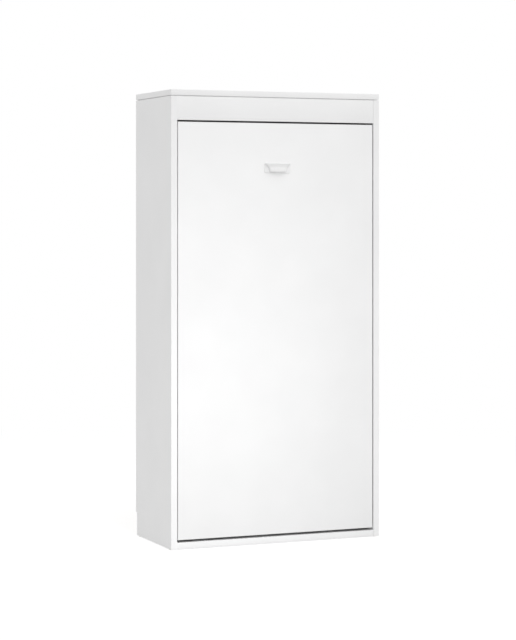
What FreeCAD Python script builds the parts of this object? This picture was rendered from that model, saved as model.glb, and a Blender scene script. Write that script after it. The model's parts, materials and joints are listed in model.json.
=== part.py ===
import FreeCAD, Part
import math
import os

import Sketcher

# Wall bed: a tall white cabinet whose front panel folds down with a single bed.
#
# X runs across the cabinet, -Y points out of its front, +Z is up.  The origin is the centre of the
# bounding box at floor level.  "Depth" below means the distance behind the cabinet's front plane.
# Every size is a cell of the sheet "Sizes"; every other place is a formula made from those cells.

SIZES = {
    # Cabinet boards
    "side_thickness": 30,
    "top_thickness": 30,
    "bottom_thickness": 30,
    "board_edge_radius": 1,
    "shadow_groove_height": 2,
    "shadow_groove_depth": 3,
    "glide_height": 4,
    "glide_diameter": 26,
    "glide_inset": 30,
    "skirting_depth": 15,
    "skirting_height": 115,
    "fascia_height": 112,
    "fascia_thickness": 18,
    "rail_thickness": 18,
    "upper_rail_height": 150,
    "middle_rail_height": 120,
    "middle_rail_level": 1080,
    "lower_rail_height": 120,
    "lower_rail_lift": 10,
    "headboard_clearance": 13.8,
    "headboard_thickness": 18,
    "headboard_height": 900,
    "back_space": 58,
    "back_panel_thickness": 3,
    # Cam fittings and dowels
    "cam_diameter": 15,
    "cam_length": 12.5,
    "cam_setback": 34,
    "bolt_diameter": 7,
    "bolt_bore_clearance": 0.5,
    "bolt_grip": 11,
    "bolt_gap": 0.3,
    "joint_end_inset": 32,
    "dowel_diameter": 8,
    "dowel_grip": 12,
    # Wall fixing
    "wall_hole_diameter": 8,
    "wall_hole_spread": 800,
    "wall_hole_rise": 80,
    "wall_washer_diameter": 20,
    # Front panel and its gaps
    "door_thickness": 18,
    "door_top_gap": 8.5,
    "door_bottom_gap": 13,
    "door_side_gap": 4,
    "door_edge_radius": 1,
    # Handle
    "handle_width": 136,
    "handle_height": 47,
    "handle_projection": 28,
    "handle_drop": 189,
    "handle_plate": 3,
    "handle_plate_corner": 9,
    "handle_mouth_width": 126,
    "handle_mouth_height": 45,
    "handle_neck_width": 88,
    "handle_neck_height": 28,
    "handle_neck_depth": 16,
    "handle_base_width": 76,
    "handle_base_height": 4,
    "handle_base_depth": 18,
    "handle_wall": 2.6,
    "handle_corner": 13,
    "handle_screw_spacing": 110,
    "handle_screw_bite": 2,
    # Bed frame
    "rail_setback": 34,
    "frame_margin": 13,
    "frame_top_margin": 39.5,
    "tube_width": 30,
    "tube_depth": 50,
    "tube_wall": 2,
    "tube_corner": 3,
    "cap_plug": 12,
    "cap_flange": 3,
    "cross_tube_depth": 30,
    "cross_tube_lift": 500,
    "bracket_leg": 30,
    "bracket_length": 25,
    "bracket_thickness": 2.5,
    "screw_diameter": 4,
    "screw_head_diameter": 9,
    "screw_head_height": 2.4,
    "screw_bite": 10,
    # Slats and their holders
    "slat_width": 53,
    "slat_thickness": 8,
    "slat_bow": 6.5,
    "slat_end_margin": 82,
    "holder_length": 66,
    "holder_width": 29,
    "holder_height": 14,
    "holder_wall": 2.5,
    "holder_end_wall": 4,
    "slat_clearance": 0.6,
    "slat_slope": 0.6,
    # Mattress and straps
    "mattress_width": 900,
    "mattress_length": 1900,
    "mattress_thickness": 180,
    "mattress_corner": 35,
    "mattress_edge": 22,
    "mattress_lift": 18,
    "mattress_side_gap": 20,
    "strap_width": 40,
    "strap_thickness": 2,
    "strap_clearance": 0.3,
    "strap_tab": 16,
    "buckle_length": 62,
    "buckle_width": 54,
    "buckle_height": 9,
    # Fold
    "fold_angle": 90,
    "fold_height": 320,
    "fold_depth": 45,
    "pin_diameter": 12,
    "pin_shoulder": 24,
    "bush_diameter": 20,
    "bush_length": 22,
    "running_clearance": 0.3,
    "pin_side_clearance": 0.8,
    "cabinet_plate_thickness": 4,
    "bed_plate_thickness": 4,
    "plate_margin": 24,
    "plate_shoulder": 50,
    "plate_corner": 8,
    "bed_plate_width": 46,
    "plate_screw_diameter": 5,
    # Gas struts
    "stud_margin": 10,
    "strut_stud_back": 64.7,
    "stud_diameter": 8,
    "stud_shoulder": 14,
    "stud_head": 13,
    "stud_head_height": 2.5,
    "eye_diameter": 18,
    "eye_width": 11,
    "eye_side_clearance": 0.5,
    "eye_neck": 10,
    "eye_sink": 1.5,
    "cylinder_diameter": 22,
    "cylinder_wall": 2,
    "cylinder_end_gap": 42,
    "cylinder_neck": 13,
    "cylinder_end_wall": 6,
    "rod_diameter": 8,
    "rod_tip_gap": 46,
    "piston_height": 12,
    # Folding foot bow
    "leg_tube": 20,
    "leg_bend": 60,
    "leg_hinge_depth": 42,
    "leg_hinge_drop": 13.5,
    "leg_offset": 26,
    "leg_swing": 210,
    "leg_plate_thickness": 4,
    "leg_plate_length": 86,
    "leg_plate_width": 40,
    "leg_plate_nose": 12,
    "leg_side_clearance": 0.6,
    "leg_lug_thickness": 6,
    "leg_lug_radius": 11,
    "leg_lug_length": 18,
    "leg_pin_diameter": 8,
    "leg_pin_head": 13,
    "leg_pin_head_height": 2.4,
    "foot_sleeve_diameter": 27,
    "foot_sleeve_length": 46,
    "foot_sleeve_spread": 640,
    "floor_clearance": 0.4,
    # Door stops
    "stop_height": 1500,
    "stop_length": 60,
    "stop_plate": 3,
    "stop_reach": 32,
    "stop_leg": 36,
    "bumper_height": 6,
    "bumper_diameter": 14,
    "bumper_gap": 0.3,
}

# Counts, and places along a piece as shares of its length
SLAT_COUNT = 12
STRAP_AFTER_SLATS = (3, 9)
BRACKET_SHARES = (0.1, 0.37, 0.63, 0.9)
PLATE_SCREW_SHARES = (0.22, 0.4, 0.6, 0.82)
BED_PLATE_SCREW_SHARES = (-0.88, -0.3, 0.12)
LEG_PLATE_SCREW_SHARES = (0.62, 0.86)
DOWEL_SHARES = (0.12, 0.5, 0.88)
BOTTOM_JOINT_SHARES = (0.12, 0.82)
STOP_SCREW_SHARES = (0.25, 0.75)
SCOOP_CORNER_SHARES = ((0, 1), (0.13, 0.5), (0.5, 0.13), (1, 0))
SIDES = {"left": -1, "right": 1}
BAR_SIDES = 12
SHANK_SIDES = 6
HEAD_SIDES = 8
DISC_SIDES = 16


class Value:
    """A number that keeps the formula it came from, so that a feature can be bound to the sheet."""

    def __init__(self, formula, number):
        self.formula = formula
        self.number = number

    def __add__(self, other):
        return combine(self, "+", other, self.number + number_of(other))

    def __radd__(self, other):
        return combine(other, "+", self, number_of(other) + self.number)

    def __sub__(self, other):
        return combine(self, "-", other, self.number - number_of(other))

    def __rsub__(self, other):
        return combine(other, "-", self, number_of(other) - self.number)

    def __mul__(self, other):
        return combine(self, "*", other, self.number * number_of(other))

    def __rmul__(self, other):
        return combine(other, "*", self, number_of(other) * self.number)

    def __truediv__(self, other):
        return combine(self, "/", other, self.number / number_of(other))

    def __neg__(self):
        return combine(-1, "*", self, -self.number)


def number_of(value):
    """The plain number of a value or of a number."""
    return value.number if isinstance(value, Value) else value


def formula_of(value):
    """The formula of a value or of a number."""
    return value.formula if isinstance(value, Value) else repr(value)


def combine(first, sign, second, number):
    """A value made from two others."""
    return Value(f"({formula_of(first)} {sign} {formula_of(second)})", number)


def root_of(value):
    """The square root of a value."""
    return Value(f"sqrt({formula_of(value)})", math.sqrt(number_of(value)))


def cosine_of(angle):
    """The cosine of an angle in degrees."""
    return Value(f"cos({formula_of(angle)})", math.cos(math.radians(number_of(angle))))


class SizeTable:
    """The driving sizes as values, read by name."""


# The document and its sheet of driving sizes

doc = FreeCAD.newDocument("wall_bed")
sheet = doc.addObject("Spreadsheet::Sheet", "Sizes")
size = SizeTable()
for row, (alias, amount) in enumerate(SIZES.items(), 1):
    sheet.set(f"A{row}", alias)
    sheet.set(f"B{row}", str(amount))
    sheet.setAlias(f"B{row}", alias)
    setattr(size, alias, Value(f"Sizes.{alias}", float(amount)))
doc.recompute()

bodies = []


# Building blocks

def new_body(name):
    """An empty body that becomes one node of the model."""
    body = doc.addObject("PartDesign::Body", name)
    body.Label = name
    bodies.append(body)
    return body


def place(body, x, y, z, axis="vector(1; 0; 0)", angle=0):
    """Put a body at a point, turned about an axis."""
    point = f"vector({formula_of(x)}; {formula_of(y)}; {formula_of(z)})"
    body.setExpression("Placement", f"placement({point}; rotation({axis}; {formula_of(angle)}))")


def add_box(body, kind, x, y, z, length_x, length_y, length_z):
    """A block added to a body or cut from it, from its lowest corner."""
    box = body.newObject(f"PartDesign::{kind}Box", f"{kind.lower()}_block")
    box.setExpression("Length", formula_of(length_x))
    box.setExpression("Width", formula_of(length_y))
    box.setExpression("Height", formula_of(length_z))
    point = f"vector({formula_of(x)}; {formula_of(y)}; {formula_of(z)})"
    box.setExpression("Placement", f"placement({point}; rotation(vector(0; 0; 1); 0))")
    return box


TURNS = {
    "X": "rotation(vector(0; 1; 0); 90)",
    "Y": "rotation(vector(1; 0; 0); -90)",
    "Z": "rotation(vector(0; 0; 1); 0)",
}


def add_cylinder(body, kind, axis, x, y, z, diameter, length):
    """A cylinder added to a body or cut from it, from the centre of its lowest end along an axis."""
    cylinder = body.newObject(f"PartDesign::{kind}Cylinder", f"{kind.lower()}_cylinder")
    cylinder.setExpression("Radius", formula_of(diameter / 2))
    cylinder.setExpression("Height", formula_of(length))
    point = f"vector({formula_of(x)}; {formula_of(y)}; {formula_of(z)})"
    cylinder.setExpression("Placement", f"placement({point}; {TURNS[axis]})")
    return cylinder


def add_fastener(body, kind, axis, x, y, z, diameter, length, sides=SHANK_SIDES):
    """A small fastener's shank or head, or the hole it fills, as a prism of few faces."""
    prism = body.newObject(f"PartDesign::{kind}Prism", f"{kind.lower()}_prism")
    prism.Polygon = sides
    prism.setExpression("Circumradius", formula_of(diameter / 2))
    prism.setExpression("Height", formula_of(length))
    point = f"vector({formula_of(x)}; {formula_of(y)}; {formula_of(z)})"
    prism.setExpression("Placement", f"placement({point}; {TURNS[axis]})")
    return prism


def round_edges(body, feature, radius, chosen):
    """Round the edges of a feature that a test chooses."""
    doc.recompute()
    names = []
    for index, edge in enumerate(feature.Shape.Edges, 1):
        if chosen(edge):
            names.append(f"Edge{index}")
    fillet = body.newObject("PartDesign::Fillet", "rounded_edges")
    fillet.Base = (feature, names)
    fillet.setExpression("Radius", formula_of(radius))
    return fillet


def runs_along(axis):
    """A test for straight edges parallel to one axis."""
    def chosen(edge):
        if edge.Curve.TypeId != "Part::GeomLine":
            return False
        return abs(abs(getattr(edge.Curve.Direction, axis)) - 1) < 1e-6
    return chosen


def origin_plane(body, role):
    """One of a body's own origin planes."""
    for feature in body.Origin.OriginFeatures:
        if feature.Role == role:
            return feature
    return None


def new_sketch(body, name, role, offset=None):
    """A sketch on one of a body's own origin planes, lifted off it if an offset is given."""
    sketch = body.newObject("Sketcher::SketchObject", name)
    sketch.AttachmentSupport = [(origin_plane(body, role), "")]
    sketch.MapMode = "FlatFace"
    if offset is not None:
        sketch.setExpression("AttachmentOffset.Base.z", formula_of(offset))
    return sketch


def hold(sketch, index, position, x, y):
    """Hold a point of a sketch at two distances from the sketch's origin."""
    for kind, axis_index, value in (("DistanceX", -2, x), ("DistanceY", -1, y)):
        number = number_of(value)
        if not isinstance(value, Value) and number == 0:
            sketch.addConstraint(Sketcher.Constraint("PointOnObject", index, position, axis_index))
            continue
        datum = sketch.addConstraint(Sketcher.Constraint(kind, -1, 1, index, position, number))
        sketch.setExpression(f"Constraints[{datum}]", formula_of(value))


def draw_shape(sketch, corners):
    """A closed shape.  A corner is (x, y), or (x, y, middle, radius) where an arc leads to the next one."""
    ends = []
    count = len(corners)
    for step in range(count):
        here = corners[step]
        there = corners[(step + 1) % count]
        start = FreeCAD.Vector(number_of(here[0]), number_of(here[1]), 0)
        end = FreeCAD.Vector(number_of(there[0]), number_of(there[1]), 0)
        if len(here) == 2:
            index = sketch.addGeometry(Part.LineSegment(start, end))
            ends.append((index, 1, 2))
            continue
        middle = FreeCAD.Vector(number_of(here[2][0]), number_of(here[2][1]), 0)
        runs_left = (end - start).cross(middle - start).z < 0
        if runs_left:
            index = sketch.addGeometry(Part.Arc(start, middle, end))
            ends.append((index, 1, 2))
        else:
            index = sketch.addGeometry(Part.Arc(end, middle, start))
            ends.append((index, 2, 1))
        datum = sketch.addConstraint(Sketcher.Constraint("Radius", index, number_of(here[3])))
        sketch.setExpression(f"Constraints[{datum}]", formula_of(here[3]))
    for step in range(count):
        index, _, last = ends[step]
        following, first, _ = ends[(step + 1) % count]
        sketch.addConstraint(Sketcher.Constraint("Coincident", index, last, following, first))
    for step in range(count):
        index, first, _ = ends[step]
        hold(sketch, index, first, corners[step][0], corners[step][1])


def draw_polygon(sketch, x, y, diameter, sides):
    """A regular closed shape round a middle point."""
    corners = []
    for step in range(sides):
        turn = 2 * math.pi * step / sides
        corners.append((x + diameter / 2 * math.cos(turn), y + diameter / 2 * math.sin(turn)))
    draw_shape(sketch, corners)


def add_pad(body, sketch, length, reversed_way=False):
    """A sketch pushed out by a length."""
    pad = body.newObject("PartDesign::Pad", "pad")
    pad.Profile = sketch
    pad.Reversed = reversed_way
    pad.setExpression("Length", formula_of(length))
    return pad


def add_turned(body, corners):
    """A shape of radii and heights turned about the body's Z axis."""
    sketch = new_sketch(body, "profile", "XZ_Plane")
    draw_shape(sketch, corners)
    doc.recompute()
    turned = body.newObject("PartDesign::Revolution", "turned")
    turned.Profile = sketch
    turned.ReferenceAxis = (sketch, ["V_Axis"])
    turned.Angle = 360
    return turned


def new_group(name):
    """A body that holds several separate solids of the same kind."""
    body = new_body(name)
    body.AllowCompound = True
    return body


def make_tube(name, x, y, z, length_x, length_y, length_z, axis):
    """A rectangular steel tube, open at both ends, with rounded corners along its length."""
    body = new_body(name)
    block = add_box(body, "Additive", 0, 0, 0, length_x, length_y, length_z)
    round_edges(body, block, size.tube_corner, runs_along(axis))
    wall = size.tube_wall
    lengths = {"x": length_x, "y": length_y, "z": length_z}
    start = {}
    inner = {}
    for name_of_axis, length in lengths.items():
        start[name_of_axis] = 0 if name_of_axis == axis else wall
        inner[name_of_axis] = length if name_of_axis == axis else length - 2 * wall
    add_box(body, "Subtractive", start["x"], start["y"], start["z"], inner["x"], inner["y"], inner["z"])
    place(body, x, y, z)
    return body


# Widths, worked outwards from the mattress to the sides of the cabinet

mattress_half = size.mattress_width / 2
rail_half = mattress_half + size.mattress_side_gap
rail_inner = rail_half - size.tube_width
door_half = rail_half + size.rail_setback
inner_half = door_half + size.door_side_gap
half_width = inner_half + size.side_thickness

# Heights, worked upwards from the floor round the upright bed

bottom_top = size.glide_height + size.bottom_thickness
door_bottom = bottom_top + size.door_bottom_gap
frame_bottom = door_bottom + size.frame_margin
frame_top = frame_bottom + size.mattress_length
door_top = frame_top + size.frame_top_margin
fascia_bottom = door_top + size.door_top_gap
top_under = fascia_bottom + size.fascia_height
pivot_z = size.fold_height
middle_rail_bottom = size.middle_rail_level
lower_rail_bottom = size.skirting_height + size.lower_rail_lift
upper_rail_bottom = top_under - size.upper_rail_height

# Depths, worked backwards from the front panel; the head of the mattress swings past the headboard

mattress_depth = size.door_thickness + size.tube_depth + size.mattress_lift + size.mattress_thickness
head_back = mattress_depth - size.fold_depth
head_drop = pivot_z - frame_bottom
head_reach = root_of(head_back * head_back + head_drop * head_drop)
headboard_setback = size.fold_depth + head_reach + size.headboard_clearance
cabinet_depth = headboard_setback + size.headboard_thickness + size.back_space + size.rail_thickness
front = (size.handle_projection - cabinet_depth) / 2
back = front + cabinet_depth
rail_front = back - size.rail_thickness
headboard_front = front + headboard_setback
bottom_depth = cabinet_depth - size.skirting_depth
tube_front = front + size.door_thickness
tube_back = tube_front + size.tube_depth
tube_middle = tube_front + size.tube_depth / 2
mattress_front = tube_back + size.mattress_lift
mattress_back = mattress_front + size.mattress_thickness
pivot_y = front + size.fold_depth

# Strut studs.  Both stand at one distance from the fold axis, so each strut turns half as far as the bed.

strut_radius = head_drop - size.stud_margin
stud_back = size.strut_stud_back
stud_rise = root_of(strut_radius * strut_radius - stud_back * stud_back)
strut_open = root_of(2 * strut_radius * (strut_radius - stud_back))
upper_stud_y = pivot_y + stud_back
upper_stud_z = pivot_z + stud_rise
lower_stud_y = pivot_y
lower_stud_z = pivot_z - strut_radius
strut_slope = stud_back / (strut_radius + stud_rise)
strut_lean = Value(
    f"atan({formula_of(strut_slope)})",
    math.degrees(math.atan(strut_slope.number)),
)
cabinet_plate_face = inner_half - size.cabinet_plate_thickness
bed_plate_face = rail_half + size.bed_plate_thickness
strut_x = (cabinet_plate_face + bed_plate_face) / 2

# Hinge of the folding foot

leg_hinge_y = front + size.leg_hinge_depth
leg_hinge_z = door_top - size.leg_hinge_drop
leg_drop = (
    pivot_z + size.leg_hinge_depth - size.fold_depth
    - size.foot_sleeve_diameter / 2 - size.floor_clearance
)
leg_x = rail_half + size.leg_plate_thickness + size.leg_side_clearance + size.leg_tube / 2
leg_turn = 360 - size.fold_angle - size.leg_swing


# Cabinet boards and the fittings that join them

def joint_rows():
    """Where each cross board is bolted to the sides: its name and the places of its bolts."""
    inset = size.joint_end_inset
    rows = {}
    upright = (
        ("top_fascia", front + size.fascia_thickness / 2, fascia_bottom, size.fascia_height),
        ("upper_back_rail", rail_front + size.rail_thickness / 2, upper_rail_bottom, size.upper_rail_height),
        ("middle_back_rail", rail_front + size.rail_thickness / 2, middle_rail_bottom,
         size.middle_rail_height),
        ("lower_back_rail", rail_front + size.rail_thickness / 2, lower_rail_bottom, size.lower_rail_height),
        ("headboard_panel", headboard_front + size.headboard_thickness / 2, bottom_top,
         size.headboard_height),
    )
    for name, y, bottom, height in upright:
        rows[name] = [(y, bottom + inset), (y, bottom + height - inset)]
    middle = size.glide_height + size.bottom_thickness / 2
    rows["bottom_panel"] = [(front + share * bottom_depth, middle) for share in BOTTOM_JOINT_SHARES]
    return rows


JOINT_ROWS = joint_rows()


def bore_for_cams(body, name, depth_from_face):
    """Cut the cam beds and the bolt bores at both ends of a board that lies at its final place."""
    reach = size.cam_setback
    for y, z in JOINT_ROWS[name]:
        for sign in SIDES.values():
            cam_x = sign * (inner_half - reach)
            if name == "bottom_panel":
                add_fastener(body, "Subtractive", "Z", cam_x, y, size.glide_height,
                             size.cam_diameter, size.cam_length, HEAD_SIDES)
            else:
                add_fastener(body, "Subtractive", "Y", cam_x, y + depth_from_face - size.cam_length, z,
                             size.cam_diameter, size.cam_length, HEAD_SIDES)
            start = inner_half - reach if sign > 0 else -inner_half
            add_fastener(body, "Subtractive", "X", start, y, z,
                         size.bolt_diameter + 2 * size.bolt_bore_clearance, reach)


def make_cross_board(name, y, z, depth, height, softened):
    """A board between the sides, bored for its cam fittings."""
    body = new_body(name)
    block = add_box(body, "Additive", -inner_half, y, z, 2 * inner_half, depth, height)
    if softened:
        round_edges(body, block, size.board_edge_radius, runs_along(softened))
    bore_for_cams(body, name, depth / 2)
    return body


def make_side_panel(name, sign):
    """A side board with the skirting notch, bored for the bolts, the dowels and the plate screws."""
    body = new_body(name)
    sketch = new_sketch(body, "outline", "YZ_Plane", inner_half if sign > 0 else -half_width)
    floor = size.glide_height
    draw_shape(sketch, [
        (front, floor),
        (back - size.skirting_depth, floor),
        (back - size.skirting_depth, size.skirting_height),
        (back, size.skirting_height),
        (back, top_under),
        (front, top_under),
    ])
    doc.recompute()
    pad = add_pad(body, sketch, size.side_thickness)
    round_edges(body, pad, size.board_edge_radius, front_upright)
    hole_x = inner_half if sign > 0 else -inner_half - size.bolt_grip
    for row in JOINT_ROWS.values():
        for y, z in row:
            add_fastener(body, "Subtractive", "X", hole_x, y, z, size.bolt_diameter, size.bolt_grip)
    for share in DOWEL_SHARES:
        add_fastener(body, "Subtractive", "Z", sign * (half_width - size.side_thickness / 2),
                     front + share * cabinet_depth, top_under - size.dowel_grip,
                     size.dowel_diameter, size.dowel_grip)
    screw_x = inner_half if sign > 0 else -inner_half - size.screw_bite
    for y, z in cabinet_screw_places():
        add_fastener(body, "Subtractive", "X", screw_x, y, z, size.plate_screw_diameter, size.screw_bite)
    return body


def front_upright(edge):
    """A test for the two upright edges at the front of a side board."""
    middle = edge.BoundBox.Center
    upright = edge.BoundBox.ZLength > top_under.number / 2
    return upright and abs(middle.y - front.number) < size.board_edge_radius.number


def cabinet_screw_places():
    """Where screws enter the inner face of a side board: pivot plate first, then the door stop."""
    places = []
    for share in PLATE_SCREW_SHARES:
        places.append((pivot_y + share * stud_back, pivot_z + share * stud_rise))
    for share in STOP_SCREW_SHARES:
        places.append((stop_face + size.stop_leg / 2, size.stop_height + (share - 0.5) * size.stop_length))
    return places


stop_face = tube_front + size.bumper_gap + size.bumper_height


def make_top_panel():
    """The top board, dowelled to both sides, with a shadow groove round its front and ends where it meets them."""
    body = new_body("top_panel")
    block = add_box(body, "Additive", -half_width, front, top_under,
                    2 * half_width, cabinet_depth, size.top_thickness)
    round_edges(body, block, size.board_edge_radius, runs_along("x"))
    groove = size.shadow_groove_depth
    add_box(body, "Subtractive", -half_width, front, top_under,
            2 * half_width, groove, size.shadow_groove_height)
    for x in (-half_width, half_width - groove):
        add_box(body, "Subtractive", x, front, top_under,
                groove, cabinet_depth, size.shadow_groove_height)
    for sign in SIDES.values():
        for share in DOWEL_SHARES:
            add_fastener(body, "Subtractive", "Z", sign * (half_width - size.side_thickness / 2),
                         front + share * cabinet_depth, top_under,
                         size.dowel_diameter, size.dowel_grip)


def make_upper_back_rail():
    """The upper back rail, with the holes that fix the cabinet to the wall."""
    body = make_cross_board("upper_back_rail", rail_front, upper_rail_bottom,
                            size.rail_thickness, size.upper_rail_height, "")
    middle = upper_rail_bottom + size.upper_rail_height / 2
    for sign_x in SIDES.values():
        for sign_z in SIDES.values():
            add_cylinder(body, "Subtractive", "Y", sign_x * size.wall_hole_spread / 2, rail_front,
                         middle + sign_z * size.wall_hole_rise / 2,
                         size.wall_hole_diameter, size.rail_thickness)


def make_back_panel():
    """The thin back panel in front of the rails, which closes the cabinet, with room for the wall washers."""
    body = new_body("back_panel")
    face = rail_front - size.back_panel_thickness
    add_box(body, "Additive", -inner_half, face, bottom_top,
            2 * inner_half, size.back_panel_thickness, top_under - bottom_top)
    middle = upper_rail_bottom + size.upper_rail_height / 2
    for sign_x in SIDES.values():
        for sign_z in SIDES.values():
            add_fastener(body, "Subtractive", "Y", sign_x * size.wall_hole_spread / 2, face,
                         middle + sign_z * size.wall_hole_rise / 2,
                         size.wall_washer_diameter, size.back_panel_thickness, DISC_SIDES)


def make_cabinet_boards():
    """Every board of the cabinet."""
    for side, sign in SIDES.items():
        make_side_panel(f"side_panel_{side}", sign)
    make_top_panel()
    make_cross_board("bottom_panel", front, size.glide_height, bottom_depth, size.bottom_thickness, "x")
    make_cross_board("top_fascia", front, fascia_bottom, size.fascia_thickness, size.fascia_height, "x")
    make_upper_back_rail()
    make_back_panel()
    make_cross_board("middle_back_rail", rail_front, middle_rail_bottom,
                     size.rail_thickness, size.middle_rail_height, "")
    make_cross_board("lower_back_rail", rail_front, lower_rail_bottom,
                     size.rail_thickness, size.lower_rail_height, "")
    make_cross_board("headboard_panel", headboard_front, bottom_top,
                     size.headboard_thickness, size.headboard_height, "x")


def make_cabinet_fittings():
    """Cams, bolts, dowels and floor glides, each kind as one group."""
    locks = new_group("cam_locks")
    bolts = new_group("cam_bolts")
    for name, row in JOINT_ROWS.items():
        for y, z in row:
            for sign in SIDES.values():
                cam_x = sign * (inner_half - size.cam_setback)
                if name == "bottom_panel":
                    add_fastener(locks, "Additive", "Z", cam_x, y, size.glide_height,
                                 size.cam_diameter, size.cam_length, HEAD_SIDES)
                else:
                    half = size.fascia_thickness / 2 if name == "top_fascia" else size.rail_thickness / 2
                    if name == "headboard_panel":
                        half = size.headboard_thickness / 2
                    add_fastener(locks, "Additive", "Y", cam_x, y + half - size.cam_length, z,
                                 size.cam_diameter, size.cam_length, HEAD_SIDES)
                free = size.cam_setback - size.cam_diameter / 2 - size.bolt_gap
                start = inner_half - free if sign > 0 else -inner_half - size.bolt_grip
                add_fastener(bolts, "Additive", "X", start, y, z,
                             size.bolt_diameter, free + size.bolt_grip)
    dowels = new_group("top_dowels")
    glides = new_group("floor_glides")
    for sign in SIDES.values():
        for share in DOWEL_SHARES:
            add_fastener(dowels, "Additive", "Z", sign * (half_width - size.side_thickness / 2),
                         front + share * cabinet_depth, top_under - size.dowel_grip,
                         size.dowel_diameter, 2 * size.dowel_grip)
        for y in (front + size.glide_inset, back - size.skirting_depth - size.glide_inset):
            add_fastener(glides, "Additive", "Z", sign * (half_width - size.side_thickness / 2), y, 0,
                         size.glide_diameter, size.glide_height, DISC_SIDES)


# Pivot plates, pins and studs on the cabinet

def screw(group, sign, face, y, z, diameter, bite):
    """A screw driven outwards into a side at a face, with its head on the inside."""
    mirrored_fastener(group, "Additive", sign, face - size.screw_head_height, face,
                      y, z, size.screw_head_diameter, HEAD_SIDES)
    mirrored_fastener(group, "Additive", sign, face, face + bite, y, z, diameter)


def mirrored_cylinder(group, kind, sign, near, far, y, z, diameter):
    """A cylinder between two distances from the middle plane, on the side that sign gives."""
    start = near if sign > 0 else -far
    add_cylinder(group, kind, "X", start, y, z, diameter, far - near)


def mirrored_fastener(group, kind, sign, near, far, y, z, diameter, sides=SHANK_SIDES):
    """A fastener, or its hole, between two distances from the middle plane."""
    start = near if sign > 0 else -far
    add_fastener(group, kind, "X", start, y, z, diameter, far - near, sides)


def make_cabinet_plate(name, sign):
    """The steel plate on a side board that carries the fold pin and the upper strut stud."""
    body = new_body(name)
    margin = size.plate_margin
    top = stud_rise + margin
    reach = stud_back
    sketch = new_sketch(body, "outline", "YZ_Plane", cabinet_plate_face if sign > 0 else -inner_half)
    draw_shape(sketch, [
        (pivot_y - margin, pivot_z),
        (pivot_y + margin, pivot_z),
        (pivot_y + reach + margin, pivot_z + top),
        (pivot_y + reach - margin, pivot_z + top),
        (pivot_y - margin, pivot_z + size.plate_shoulder),
    ])
    doc.recompute()
    pad = add_pad(body, sketch, size.cabinet_plate_thickness)
    round_edges(body, pad, size.plate_corner, upper_plate_edge)
    mirrored_cylinder(body, "Additive", sign, cabinet_plate_face, inner_half, pivot_y, pivot_z, 2 * margin)
    mirrored_cylinder(body, "Subtractive", sign, cabinet_plate_face, inner_half,
                      pivot_y, pivot_z, size.pin_diameter)
    mirrored_cylinder(body, "Subtractive", sign, cabinet_plate_face, inner_half,
                      upper_stud_y, upper_stud_z, size.stud_diameter)
    for share in PLATE_SCREW_SHARES:
        mirrored_fastener(body, "Subtractive", sign, cabinet_plate_face, inner_half,
                          pivot_y + share * reach, pivot_z + share * stud_rise, size.plate_screw_diameter)


def upper_plate_edge(edge):
    """A test for the edges across a cabinet plate above the fold axis."""
    return runs_along("x")(edge) and edge.BoundBox.ZMin > pivot_z.number + size.plate_corner.number


def make_cabinet_hardware():
    """Pivot plates with their pins, studs and screws, and the door stops."""
    pins = new_group("pivot_pins")
    studs = new_group("upper_strut_studs")
    screws = new_group("cabinet_plate_screws")
    stops = new_group("door_stop_brackets")
    bumpers = new_group("door_bumpers")
    shoulder_end = bed_plate_face + size.pin_side_clearance
    pin_end = bed_plate_face - size.bush_length
    eye_half = size.eye_width / 2
    for side, sign in SIDES.items():
        make_cabinet_plate(f"cabinet_pivot_plate_{side}", sign)
        mirrored_cylinder(pins, "Additive", sign, pin_end, inner_half, pivot_y, pivot_z, size.pin_diameter)
        mirrored_fastener(pins, "Additive", sign, shoulder_end, cabinet_plate_face,
                          pivot_y, pivot_z, size.pin_shoulder, DISC_SIDES)
        head_start = strut_x - eye_half - size.eye_side_clearance - size.stud_head_height
        mirrored_cylinder(studs, "Additive", sign, head_start, inner_half,
                          upper_stud_y, upper_stud_z, size.stud_diameter)
        mirrored_fastener(studs, "Additive", sign, head_start, head_start + size.stud_head_height,
                          upper_stud_y, upper_stud_z, size.stud_head, DISC_SIDES)
        mirrored_fastener(studs, "Additive", sign, strut_x + eye_half + size.eye_side_clearance,
                          cabinet_plate_face, upper_stud_y, upper_stud_z, size.stud_shoulder, DISC_SIDES)
        for share in PLATE_SCREW_SHARES:
            screw(screws, sign, cabinet_plate_face, pivot_y + share * stud_back,
                  pivot_z + share * stud_rise, size.plate_screw_diameter,
                  size.cabinet_plate_thickness + size.screw_bite)
        make_door_stop(stops, bumpers, screws, sign)


def make_door_stop(stops, bumpers, screws, sign):
    """An angle bracket on a side board with a rubber bumper that the closed front panel meets."""
    plate = size.stop_plate
    low = size.stop_height - size.stop_length / 2
    flange = inner_half - size.stop_reach
    flange_x = flange if sign > 0 else -inner_half
    leg_x_start = inner_half - plate if sign > 0 else -inner_half
    add_box(stops, "Additive", flange_x, stop_face, low, size.stop_reach, plate, size.stop_length)
    add_box(stops, "Additive", leg_x_start, stop_face, low, plate, size.stop_leg, size.stop_length)
    centre = sign * (inner_half - size.stop_reach / 2)
    add_fastener(bumpers, "Additive", "Y", centre, stop_face - size.bumper_height, size.stop_height,
                 size.bumper_diameter, size.bumper_height, DISC_SIDES)
    for share in STOP_SCREW_SHARES:
        y = stop_face + size.stop_leg / 2
        z = size.stop_height + (share - 0.5) * size.stop_length
        mirrored_fastener(stops, "Subtractive", sign, inner_half - plate, inner_half,
                          y, z, size.plate_screw_diameter)
        screw(screws, sign, inner_half - plate, y, z, size.plate_screw_diameter, plate + size.screw_bite)


# Front panel and its handle

def bracket_places():
    """The middle height of each angle bracket between the side rails and the front panel."""
    return [frame_bottom + share * size.mattress_length for share in BRACKET_SHARES]


def bracket_screw_x():
    """How far from the middle plane a bracket's panel screw stands."""
    return rail_inner - size.bracket_thickness - size.bracket_leg / 2


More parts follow.
